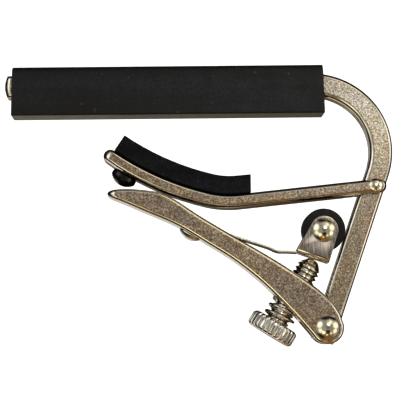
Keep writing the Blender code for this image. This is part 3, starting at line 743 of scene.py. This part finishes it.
def make_bar():
    path = frame_path()
    half = BAR_THICKNESS / 2
    dome_points = []
    for k in range(-CROWN_STEPS, CROWN_STEPS + 1):
        z = BAR_CROWN * half * k / CROWN_STEPS
        dome_points.append((BAR_LEFT_X - BAR_DOME * (1 - (z / half) ** 2), BAR_CENTRE_Z + z))
    outline = beside(path, half) + beside(path, -half)[::-1] + dome_points
    bar = plate("bent_bar", thinned(outline), BAR_DEPTH, BAR_EDGE)
    round_nose(bar, (BAR_LEFT_X - BAR_DOME, BAR_CENTRE_Z), 0, BAR_NOSE, BAR_NOSE_DROP)
    cut(bar, rivet_hole("lever_hole", LEVER_PIVOT, LEVER_RIVET, BAR_DEPTH),
        rivet_hole("jaw_hole", JAW_PIVOT, JAW_RIVET, BAR_DEPTH))
    shade(bar)
    paint(bar, TUMBLED_BAR_PAINTED_LIGHT, EDGE, choose=face_or_edge)
    settle(bar, "frame", "tumbled_nickel", "frame_bar")


def section(base_width, top_width, low, high, base_radius, top_radius):
    """Round-cornered section of the sleeve, or of the hole in it."""
    corners = ((base_width / 2 - base_radius, low + base_radius, base_radius, -90),
               (top_width / 2 - top_radius, high - top_radius, top_radius, 0),
               (-top_width / 2 + top_radius, high - top_radius, top_radius, 90),
               (-base_width / 2 + base_radius, low + base_radius, base_radius, 180))
    loop = []
    for y, z, radius, first in corners:
        for i in range(CORNER_STEPS + 1):
            a = radians(first + 90 * i / CORNER_STEPS)
            loop.append((y + radius * cos(a), z + radius * sin(a)))
    return loop


def make_sleeve():
    """Moulded tube with softened ends, close round the bar."""
    half = BAR_THICKNESS / 2
    inner = section(BAR_DEPTH, BAR_DEPTH, BAR_CENTRE_Z - half, BAR_CENTRE_Z + half,
                    BAR_EDGE, BAR_EDGE)
    outer = section(SLEEVE_BASE_WIDTH, SLEEVE_TOP_WIDTH, 0, SLEEVE_HEIGHT,
                    SLEEVE_BASE_RADIUS, SLEEVE_TOP_RADIUS)
    middle = Vector((0, SLEEVE_HEIGHT / 2))

    def shrunk(depth):
        return [tuple(Vector(p) - (Vector(p) - middle).normalized() * depth) for p in outer]

    stations = [(0.0, inner)]
    for k in range(END_STEPS + 1):
        a = radians(90 * k / END_STEPS)
        depth = SLEEVE_END_RADIUS * (1 - sin(a))
        stations.append((SLEEVE_END_RADIUS * (1 - cos(a)), shrunk(depth)))
    bm = bmesh.new()
    loops = []
    for side, order in ((-1, stations), (1, stations[::-1])):
        for back, shape in order:
            loops.append([bm.verts.new((side * (SLEEVE_LENGTH / 2 - back
                                                - SLEEVE_END_LEAN * z / SLEEVE_HEIGHT), y, z))
                          for y, z in shape])
    loft(bm, loops, is_closed=True)
    sleeve = make_object("rubber_sleeve", bm)
    shade(sleeve, 50, False)
    # The underside gets the painted reflection
    paint(sleeve, RUBBER, SLEEVE_UNDER_SHEEN, choose=lambda face: 1 if face.normal.z < -0.9 else 0)
    settle(sleeve, "frame", "black_rubber", "fret_sleeve")


# ------------------------ jaw

def jaw_path():
    return follow(JAW_PIVOT, JAW_HEADING, ((JAW_STRAIGHT, 0),) + JAW_BENDS)


def along_jaw(distance_from_tip):
    length, turn = JAW_BENDS[-1]
    x, z, angle = jaw_path()[-1]
    back = distance_from_tip / length * turn
    walked = follow((x, z), degrees(angle) + 180, [(distance_from_tip, -back)])
    x, z, angle = walked[-1]
    return x, z, angle - pi


def make_jaw():
    path = jaw_path()
    half = JAW_THICKNESS / 2
    tip_x, tip_z, tip_angle = path[-1]
    tip = arc((tip_x, tip_z), half, degrees(tip_angle) + 90, degrees(tip_angle) - 90)
    end_centre = follow(JAW_PIVOT, JAW_HEADING, [(-JAW_END_PAST_PIVOT, 0)])[-1]
    ear = arc(end_centre, JAW_END_RADIUS, JAW_HEADING - 110, JAW_HEADING - 250)
    top = beside(path[1:-1], -half)
    outline = beside(path[1:-1], half + JAW_SAG) + tip + top[::-1] + ear
    arm = plate("jaw_bar", thinned(outline), JAW_WIDTH, JAW_EDGE, JAW_CROWN, 10)
    nose = (tip_x + half * cos(tip_angle), tip_z + half * sin(tip_angle))
    round_nose(arm, nose, degrees(tip_angle) + 180, ARM_NOSE, ARM_NOSE_DROP)
    slot = fork_slot("jaw_slot", JAW_PIVOT, JAW_HEADING, JAW_SLOT_DEPTH, 2 * JAW_SLOT_DEPTH,
                     4 * JAW_THICKNESS)
    hole = rivet_hole("jaw_ear_hole", JAW_PIVOT, JAW_RIVET, JAW_WIDTH)
    x, z, angle = along_jaw(PLUG_FROM_TIP)
    across_arm = Vector((-sin(angle), 0, cos(angle))) * 2 * JAW_THICKNESS
    middle = Vector((x, 0, z))
    plug_hole = cylinder("plug_hole", middle - across_arm, middle + across_arm,
                         PLUG_STEM_RADIUS + HOLE_GAP)
    cut(arm, slot, hole, plug_hole)
    shade(arm)
    paint(arm, TUMBLED, EDGE, UNDER_SHADE, choose=face_edge_or_shaded_under)
    settle(arm, "jaw", "tumbled_nickel", "jaw_arm")


def make_pad():
    start = along_jaw(PAD_TO_TIP)
    straight = JAW_STRAIGHT - PAD_FROM_PIVOT
    right = follow(JAW_PIVOT, JAW_HEADING, [(PAD_FROM_PIVOT, 0)])[-1]
    length, turn = JAW_BENDS[-1]
    kept = 1 - PAD_TO_TIP / length
    path = follow(right[:2], JAW_HEADING,
                  [(straight, 0), JAW_BENDS[0], (length * kept, turn * kept)])
    path[-1] = start
    seat = JAW_THICKNESS / 2 + PAD_GAP
    under = beside(path, -seat)
    top = beside(path, -seat - PAD_HEIGHT)
    top[0] = (under[0][0], top[0][1])
    pad = plate("jaw_rubber", thinned(under + top[::-1]), PAD_WIDTH, PAD_EDGE)
    x, z, angle = along_jaw(PLUG_FROM_TIP)
    down = Vector((-sin(angle), 0, cos(angle)))
    barrel = PLUG_BARREL * PLUG_HEAD_HEIGHT
    cap = dome(PLUG_HEAD_RADIUS, PLUG_HEAD_HEIGHT - barrel)
    profile = [(-(seat + PAD_HEIGHT / 2), 0), (-(seat + PAD_HEIGHT / 2), PLUG_STEM_RADIUS),
               (seat, PLUG_STEM_RADIUS), (seat, 0.93 * PLUG_HEAD_RADIUS),
               (seat + PLUG_CHAMFER * PLUG_HEAD_HEIGHT, PLUG_HEAD_RADIUS)]
    profile += [(seat + barrel + along, r) for along, r in cap]
    plug = turned("pad_plug", profile, (x, 0, z), down, 48)
    cut(pad, plug, operation="UNION")
    shade(pad)
    centre = Vector((x, 0, z)) + down * seat

    def plug_or_pad(face):
        return 1 if (face.center - centre).dot(down) > -0.01 * MM and face.center.z < z else 0

    paint(pad, PAD_RUBBER, PLUG, choose=plug_or_pad)
    settle(pad, "jaw", "black_rubber", "jaw_pad")


# ------------------------ lever

def lever_outline():
    top = [(x * MM, z * MM) for x, z in LEVER_TOP]
    bottom = [(x * MM, z * MM) for x, z in LEVER_BOTTOM]
    x, z = LEVER_PIVOT
    first = degrees(atan2(top[-1][1] - z, top[-1][0] - x))
    last = degrees(atan2(bottom[0][1] - z, bottom[0][0] - x))
    end = arc(LEVER_PIVOT, LEVER_END_RADIUS, first - LEVER_END_BLEND[0],
              last + LEVER_END_BLEND[1], 18)
    return thinned(closed_curve(top + end + bottom))


def screw_point(along):
    tilt = radians(SCREW_TILT)
    return (SCREW_OFFSET * cos(tilt) - along * sin(tilt), 0,
            -SCREW_OFFSET * sin(tilt) - along * cos(tilt))


def screw_axis():
    tilt = radians(SCREW_TILT)
    return Vector((-sin(tilt), 0, -cos(tilt)))


def leaf_rivet_axis():
    heading = radians(LEAF_HEADING)
    point = Vector((LEAF_START[0] + LEAF_RIVET_ALONG * cos(heading), 0,
                    LEAF_START[1] + LEAF_RIVET_ALONG * sin(heading)))
    return point, Vector((sin(heading), 0, -cos(heading)))


def make_lever():
    arm = plate("lever_bar", lever_outline(), LEVER_WIDTH, LEVER_EDGE)
    nose = min(lever_outline())
    round_nose(arm, nose, LEVER_NOSE_HEADING, ARM_NOSE, ARM_NOSE_DROP)
    slot = fork_slot("lever_slot", LEVER_PIVOT, LEVER_HEADING, LEVER_SLOT_DEPTH, 3 * LEVER_WIDTH,
                     1.5 * LEVER_WIDTH)
    hole = rivet_hole("lever_ear_hole", LEVER_PIVOT, LEVER_RIVET, LEVER_WIDTH)
    screw_hole = cylinder("screw_hole", screw_point(SCREW_TIP), screw_point(KNOB_TOP),
                          SCREW_RADIUS + SCREW_HOLE_GAP)
    seat = cylinder("spring_seat", screw_point(SPRING_SEAT),
                    screw_point(KNOB_TOP + KNOB_HEIGHT), SPRING_SEAT_RADIUS)
    corner = beside(follow(LEAF_START, LEAF_HEADING, [(CHANNEL_START, 0)]), -CHANNEL_FLOOR)[-1]
    channel = block("leaf_channel", corner, LEAF_HEADING, CHANNEL_LENGTH, CHANNEL_HEIGHT,
                    CHANNEL_WIDTH)
    point, down = leaf_rivet_axis()
    shank_hole = cylinder("leaf_rivet_hole", point - down * LEAF_RIVET_GRIP,
                          point + down * 2 * LEAF_RIVET_GRIP, LEAF_RIVET_RADIUS + HOLE_GAP)
    cut(arm, slot, channel, shank_hole, hole, screw_hole, seat)
    shade(arm)
    paint(arm, TUMBLED, EDGE, choose=face_or_edge)
    settle(arm, "lever", "tumbled_nickel", "lever_arm")


def make_leaf():
    path = follow(LEAF_START, LEAF_HEADING, LEAF_RUNS)
    half = LEAF_THICKNESS / 2
    outline = thinned(beside(path, half) + beside(path, -half)[::-1])
    leaf = plate("leaf_strip", outline, LEAF_WIDTH, LEAF_EDGE, steps=4)
    point, down = leaf_rivet_axis()
    cut(leaf, cylinder("leaf_hole", point - down * MM, point + down * MM,
                       LEAF_RIVET_RADIUS + HOLE_GAP))
    shade(leaf, 40, False)
    paint(leaf, STEEL, EDGE, UNDER_SHADE, choose=face_edge_or_shaded_under)
    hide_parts("leaf_spring")
    bend_from = follow(LEAF_START, LEAF_HEADING, LEAF_RUNS[:1])[-1]
    bend_to = follow(LEAF_START, LEAF_HEADING, LEAF_RUNS[:6])[-1]
    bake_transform(leaf)


def make_leaf_rivet():
    point, down = leaf_rivet_axis()
    leaf_top = -(LEAF_THICKNESS / 2 + RIVET_SEAT)
    under = LEAF_RIVET_GRIP - LEAF_RIVET_SINK
    profile = [(leaf_top - LEAF_RIVET_FLAT, 0), (leaf_top - LEAF_RIVET_FLAT, 0.9 * LEAF_RIVET_HEAD),
               (leaf_top - 0.6 * LEAF_RIVET_FLAT, LEAF_RIVET_HEAD), (leaf_top, LEAF_RIVET_HEAD),
               (leaf_top, LEAF_RIVET_RADIUS), (under, LEAF_RIVET_RADIUS)]
    profile += domed_head(under, LEAF_RIVET_HEAD, LEAF_RIVET_DOME)
    obj = turned("leaf_fixing_rivet", profile, point, down)
    shade(obj, 50, False)
    paint(obj, DULL)
    settle(obj, "lever", "polished_nickel", "leaf_rivet")


# ------------------------ screw, knob, spring

def thread_radius(along, phase):
    """Radius at a place along the screw and a phase round its thread; plain inside the knob."""
    if along > KNOB_TOP - SCREW_TIP - HOLE_GAP:
        return SCREW_CORE_RADIUS
    wave = abs(2 * (phase % 1.0) - 1)
    crest = min(1.0, max(0.0, THREAD_FLANK * wave - THREAD_SINK))
    thread = SCREW_CORE_RADIUS + (SCREW_RADIUS - SCREW_CORE_RADIUS) * crest
    bulge = (along / SCREW_TIP_CONE) ** SCREW_TIP_BULGE
    return min(thread, SCREW_TIP_RADIUS + (SCREW_RADIUS - SCREW_TIP_RADIUS) * bulge)


def make_screw():
    length = KNOB_TOP + SCREW_IN_KNOB - SCREW_TIP
    steps = round(length / SCREW_PITCH * THREAD_RINGS)
    rings = [(0, [0])]
    for k in range(steps + 1):
        along = length * k / steps
        radii = [thread_radius(along, along / SCREW_PITCH - i / THREAD_SIDES)
                 for i in range(THREAD_SIDES)]
        rings.append((along, radii))
    rings.append((length, [0]))
    screw = skin("threaded_screw", rings, screw_point(SCREW_TIP), screw_axis())
    shade(screw, 40, False)
    tip = Vector(screw_point(SCREW_TIP))
    deep = SCREW_CORE_RADIUS + THREAD_SHADE_SHARE * (SCREW_RADIUS - SCREW_CORE_RADIUS)

    # The thread's roots, near its core, get the painted shade
    def shaded_root_or_crest(face):
        out = face.center - tip
        along = out.dot(screw_axis())
        off = (out - screw_axis() * along).length
        return 1 if SCREW_TIP_CONE / 2 < along and off < deep else 0

    paint(screw, THREAD, THREAD_SHADE, choose=shaded_root_or_crest)
    settle(screw, "screw", "polished_nickel", "adjusting_screw")


def make_knob():
    """Straight knurl: broad ribs with narrow grooves between two chamfers."""
    count = TOOTH_STEPS * KNOB_TEETH
    half = TOOTH_STEPS / 2
    grooves = []
    for i in range(count):
        off = abs(i % TOOTH_STEPS - half) / half
        grooves.append(max(0.0, (off - KNOB_RIB) / (1 - KNOB_RIB)) ** 1.3)

    def ribbed(radius, share):
        return [radius - KNOB_GROOVE * share * g for g in grooves]

    bore = [SCREW_CORE_RADIUS + KNOB_BORE_GAP] * count
    low = KNOB_RADIUS - KNOB_CHAMFER
    rings = [(KNOB_BORE_DEPTH, [0]), (KNOB_BORE_DEPTH, bore), (0, bore),
             (0, [low] * count), (0.12 * MM, ribbed(low + 0.18 * MM, 0.2)),
             (0.42 * MM, ribbed(KNOB_RADIUS - 0.08 * MM, 1.0)),
             (KNOB_CHAMFER, ribbed(KNOB_RADIUS, 1.0)),
             (KNOB_HEIGHT / 2, ribbed(KNOB_RADIUS, 1.0)),
             (KNOB_HEIGHT - KNOB_CHAMFER, ribbed(KNOB_RADIUS, 1.0)),
             (KNOB_HEIGHT - 0.40 * MM, ribbed(KNOB_RADIUS - 0.10 * MM, 1.0)),
             (KNOB_HEIGHT - 0.10 * MM, ribbed(low + 0.22 * MM, 0.2)),
             (KNOB_HEIGHT, [low - 0.05 * MM] * count), (KNOB_HEIGHT, [0])]
    knob = skin("ribbed_knob", rings, screw_point(KNOB_TOP), screw_axis())
    shade(knob, 38, False)
    paint(knob, KNURL)
    settle(knob, "screw", "polished_nickel", "thumb_knob")


def make_coil():
    """Wire wound round the screw, from the lever to the knob."""
    turn = Vector((0, 0, 1)).rotation_difference(screw_axis()).to_matrix()
    top = Vector(screw_point(SPRING_TOP))
    rise = (SPRING_END - SPRING_TOP) / SPRING_TURNS
    steps = round(SPRING_TURNS * SPRING_STEPS)
    bm = bmesh.new()
    loops = []
    for k in range(steps + 1):
        turns = SPRING_TURNS * k / steps
        a = 2 * pi * turns
        outward = Vector((cos(a), sin(a), 0))
        along = Vector((0, 0, 1))
        centre = outward * SPRING_COIL_RADIUS + along * rise * turns
        ring = []
        for i in range(SPRING_SIDES):
            b = 2 * pi * i / SPRING_SIDES
            offset = (outward * cos(b) + along * sin(b)) * SPRING_WIRE_RADIUS
            ring.append(bm.verts.new(top + turn @ (centre + offset)))
        loops.append(ring)
    coil = capped("screw_coil", bm, loops)
    shade(coil, 50, False)
    paint(coil, WIRE)
    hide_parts("screw_spring")
    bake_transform(coil)


# ------------------------ yoke and roller

def channel_section():
    """Section of the sheet folded up into two ears, as (across, height)."""
    outer = YOKE_WIDTH / 2
    tall = 2 * ROLLER_RADIUS + YOKE_EAR_RADIUS
    centre = (outer - YOKE_BEND_RADIUS, YOKE_BEND_RADIUS)
    outside = arc(centre, YOKE_BEND_RADIUS, -90, 0, 10) + [(outer, tall)]
    inside = [(outer - YOKE_SHEET, tall)] + arc(centre, YOKE_BEND_RADIUS - YOKE_SHEET, 0, -90, 10)
    half = outside + inside
    return half + [(-y, height) for y, height in half[::-1]]


def make_yoke():
    (left_x, left_z), (right_x, right_z) = YOKE_BASE
    left = Vector((left_x, 0, left_z))
    right = Vector((right_x, 0, right_z))
    base = Vector((right_x - left_x, 0, right_z - left_z))
    d = base.normalized()
    up = Vector((-d.z, 0, d.x))
    start = left - d * MM
    bm = bmesh.new()
    loops = [[bm.verts.new(start + d * reach + up * height + Vector((0, y, 0)))
              for y, height in channel_section()] for reach in (0, base.length + 2 * MM)]
    yoke = capped("folded_yoke", bm, loops)
    foot = [left - up * MM, left + up * YOKE_EAR_FOOT, right + up * YOKE_EAR_FOOT, right - up * MM]
    lean = degrees(atan2(d.z, d.x))
    crown = arc(ROLLER_CENTRE, YOKE_EAR_RADIUS, lean + YOKE_CROWN[0], lean + YOKE_CROWN[1])
    outline = [(v.x, v.z) for v in (foot[0], foot[3], foot[2])] + crown
    outline.append((foot[1].x, foot[1].z))
    cut(yoke, prism("yoke_outline", outline, 2 * YOKE_WIDTH), operation="INTERSECT")
    cut(yoke, rivet_hole("yoke_hole", ROLLER_CENTRE, ROLLER_PIN, YOKE_WIDTH))
    bevel = yoke.modifiers.new("edges", "BEVEL")
    bevel.width = YOKE_BEVEL
    bevel.segments = 2
    bevel.limit_method = "ANGLE"
    bevel.angle_limit = radians(50)
    bpy.context.view_layer.update()
    apply_modifiers(yoke)
    shade(yoke, 40, False)
    paint(yoke, STEEL, EDGE, choose=face_or_edge)
    settle(yoke, "yoke", "spring_steel", "roller_yoke")


def make_roller():
    half = ROLLER_WIDTH / 2
    rim = ROLLER_RADIUS - ROLLER_EDGE
    profile = [(-half, ROLLER_BORE)]
    for side, order in ((-1, range(END_STEPS + 1)), (1, range(END_STEPS, -1, -1))):
        for k in order:
            a = radians(90 * k / END_STEPS)
            profile.append((side * (half - ROLLER_EDGE + ROLLER_EDGE * cos(a)),
                            rim + ROLLER_EDGE * sin(a)))
    profile.append((half, ROLLER_BORE))
    roller = turned("nylon_roller", profile, spot(ROLLER_CENTRE), (0, 1, 0), 96)
    shade(roller, 40, False)
    paint(roller, NYLON)
    settle(roller, "roller", "black_nylon", "roller")


def make_rivets():
    for name, centre, sizes, grip, body, node in (
            ("jaw_pivot_rivet", JAW_PIVOT, JAW_RIVET, JAW_WIDTH, "jaw", "jaw_rivet"),
            ("lever_pivot_rivet", LEVER_PIVOT, LEVER_RIVET, LEVER_WIDTH, "lever", "lever_rivet"),
            ("roller_axle", ROLLER_CENTRE, ROLLER_PIN, YOKE_WIDTH, "yoke", "roller_pin")):
        obj = rivet(name, centre, sizes, grip)
        paint(obj, DOME)
        settle(obj, body, "polished_nickel", node)


# ------------------------ studio

FLOOR_Z = -250 * MM
CAMERA_AT = Vector((-2.19173, -450.0, -47.72971)) * MM
CAMERA_AIM = Vector((6.45470, 0.0, -17.48042)) * MM
CAMERA_ROLL = -0.66745          # degrees
CAMERA_LENS = 194.87
SENSOR = 36.0
BEND_LIGHT_AT = Vector((58.0, -160.0, 27.0)) * MM
BEND_LIGHT_AIM = Vector((42.0, 0.0, 2.0)) * MM
BEND_LIGHT_SIZE = 66.0 * MM
BEND_LIGHT_RADIANCE = 1.85


def make_studio():
    """A pale round floor that sweeps up into a wall all round. Only the camera sees it: the
    patches of the world light the part."""
    radius = 1.6
    sweep = 0.35
    height = 2.0
    sides = 96
    steps = 12
    profile = [(FLOOR_Z, 0), (FLOOR_Z, radius - sweep)]
    for k in range(1, steps + 1):
        a = radians(90 * k / steps)
        profile.append((FLOOR_Z + sweep * (1 - cos(a)), radius - sweep + sweep * sin(a)))
    profile.append((FLOOR_Z + height, radius))
    floor = turned("studio_floor", profile, (0, 0, 0), (0, 0, 1), sides)
    floor.data.shade_smooth()
    n = Nodes("studio_white")
    grain = n.noise(60, 2.0)
    colour = n.ramp(grain, [(0.4, (0.88, 0.88, 0.88)), (0.6, (0.90, 0.90, 0.90))])
    n.finish(colour, Roughness=0.8)
    n.shader.inputs["Emission Color"].default_value = (1.0, 1.0, 1.0, 1.0)
    n.shader.inputs["Emission Strength"].default_value = 0.9
    floor.data.materials.append(n.material)
    floor.visible_glossy = False
    floor.visible_diffuse = False
    floor.visible_shadow = False


def towards(tilt, turn):
    """Direction at tilt degrees from the camera's side, turned from +X towards +Z."""
    a = radians(tilt)
    b = radians(turn)
    return (sin(a) * cos(b), -cos(a), sin(a) * sin(b))


# tilt, turn, full radius, outer radius (all degrees), colour; later patches cover earlier ones
SURROUNDINGS = (
    (40, 75, 8, 26, (0.55, 0.54, 0.52)),                # ceiling, front
    (46, 58, 3, 15, (1.5, 1.32, 0.88)),                 # a lamp there
    (90, 62, 17, 27, (0.014, 0.014, 0.018)),            # dark past it
    (86, 97, 20, 36, (0.016, 0.019, 0.028)),            # ceiling, over the object
    (76, -90, 26, 44, (0.23, 0.125, 0.042)),            # wooden bench
    (86, -128, 17, 27, (0.02, 0.015, 0.012)),           # the bench's dark side
    (50, -95, 2, 9, (1.3, 1.05, 0.50)),                 # lit patches of the bench's edge
    (44, -130, 5, 13, (2.2, 1.9, 1.1)),
    (46, -58, 3, 10, (1.3, 1.0, 0.45)),
    (58, -24, 5, 17, (1.7, 1.55, 1.15)),                # lamps low on either side
    (56, 200, 5, 18, (1.3, 1.2, 0.95)),
    (60, 158, 8, 26, (1.45, 1.45, 1.42)),               # left window
    (60, 16, 8, 26, (1.45, 1.40, 1.26)),                # right window
    (180, 0, 84, 98, (0.010, 0.010, 0.012)),            # dark room behind
    (112, -84, 22, 38, (0.27, 0.135, 0.045)),           # bench, under the object
    (146, -126, 14, 28, (0.85, 0.84, 0.79)),            # side of the sweep
    (4, 74, 6, 20, (0.17, 0.16, 0.145)),                # someone at the camera
    (29, -85, 8, 18, (0.03, 0.022, 0.015)),             # camera's stand
    (172, -80, 8, 18, (0.12, 0.085, 0.045)),            # bench, behind
    (172.3, 153, 3.4, 5.4, (0.32, 0.31, 0.29)),         # grey wall behind
    (176.5, -136, 2, 4.5, (0.66, 0.65, 0.60)),          # white sweep behind
    (168.5, 76, 4, 7.5, (0.66, 0.67, 0.70)),            # and above it
)
SURROUNDING_GREY = (0.32, 0.31, 0.30)


def make_world():
    """A room of soft-edged patches, which the polished metal mirrors."""
    world = bpy.data.worlds.new("studio_world")
    bpy.context.scene.world = world
    world.use_nodes = True
    tree = world.node_tree
    place = tree.nodes.new("ShaderNodeTexCoord").outputs["Generated"]
    colour = None
    for tilt, turn, full, outer, shade_of in SURROUNDINGS:
        dot = tree.nodes.new("ShaderNodeVectorMath")
        dot.operation = "DOT_PRODUCT"
        dot.inputs[1].default_value = towards(tilt, turn)
        tree.links.new(place, dot.inputs[0])
        edge = tree.nodes.new("ShaderNodeMapRange")
        edge.interpolation_type = "SMOOTHSTEP"
        edge.inputs["From Min"].default_value = cos(radians(outer))
        edge.inputs["From Max"].default_value = cos(radians(full))
        tree.links.new(dot.outputs["Value"], edge.inputs["Value"])
        mix = tree.nodes.new("ShaderNodeMix")
        mix.data_type = "RGBA"
        tree.links.new(edge.outputs["Result"], mix.inputs["Factor"])
        if colour is None:
            mix.inputs[6].default_value = (*SURROUNDING_GREY, 1.0)
        else:
            tree.links.new(colour, mix.inputs[6])
        mix.inputs[7].default_value = (*shade_of, 1.0)
        colour = mix.outputs[2]
    tree.links.new(colour, tree.nodes["Background"].inputs["Color"])


def make_bend_light():
    """A soft box in front of the bend."""
    data = bpy.data.lights.new("bend_light", "AREA")
    data.shape = "ELLIPSE"
    data.size = BEND_LIGHT_SIZE
    data.size_y = BEND_LIGHT_SIZE
    data.energy = BEND_LIGHT_RADIANCE * pi * BEND_LIGHT_SIZE ** 2
    light = bpy.data.objects.new("bend_light", data)
    light.location = BEND_LIGHT_AT
    light.rotation_euler = (BEND_LIGHT_AIM - BEND_LIGHT_AT).to_track_quat("-Z", "Y").to_euler()
    light.visible_camera = False
    bpy.context.scene.collection.objects.link(light)


def make_camera():
    data = bpy.data.cameras.new("camera")
    data.sensor_width = SENSOR
    data.lens = CAMERA_LENS
    data.clip_start = 0.01
    data.clip_end = 20
    camera = bpy.data.objects.new("camera", data)
    bpy.context.scene.collection.objects.link(camera)
    forward = (CAMERA_AIM - CAMERA_AT).normalized()
    right = forward.cross(Vector((0, 0, 1))).normalized()
    up = right.cross(forward)
    roll = radians(CAMERA_ROLL)
    x = right * cos(roll) + up * sin(roll)
    y = up * cos(roll) - right * sin(roll)
    turn = Matrix((x, y, -forward)).transposed()
    camera.matrix_world = Matrix.Translation(CAMERA_AT) @ turn.to_4x4()
    bpy.context.scene.camera = camera


def main():
    make_bar()
    make_sleeve()
    make_jaw()
    make_pad()
    make_lever()
    make_leaf()
    make_leaf_rivet()
    make_screw()
    make_knob()
    make_coil()
    make_yoke()
    make_roller()
    make_rivets()
    make_studio()
    make_world()
    make_bend_light()
    make_camera()
    bpy.context.scene.view_settings.view_transform = "Standard"


main()
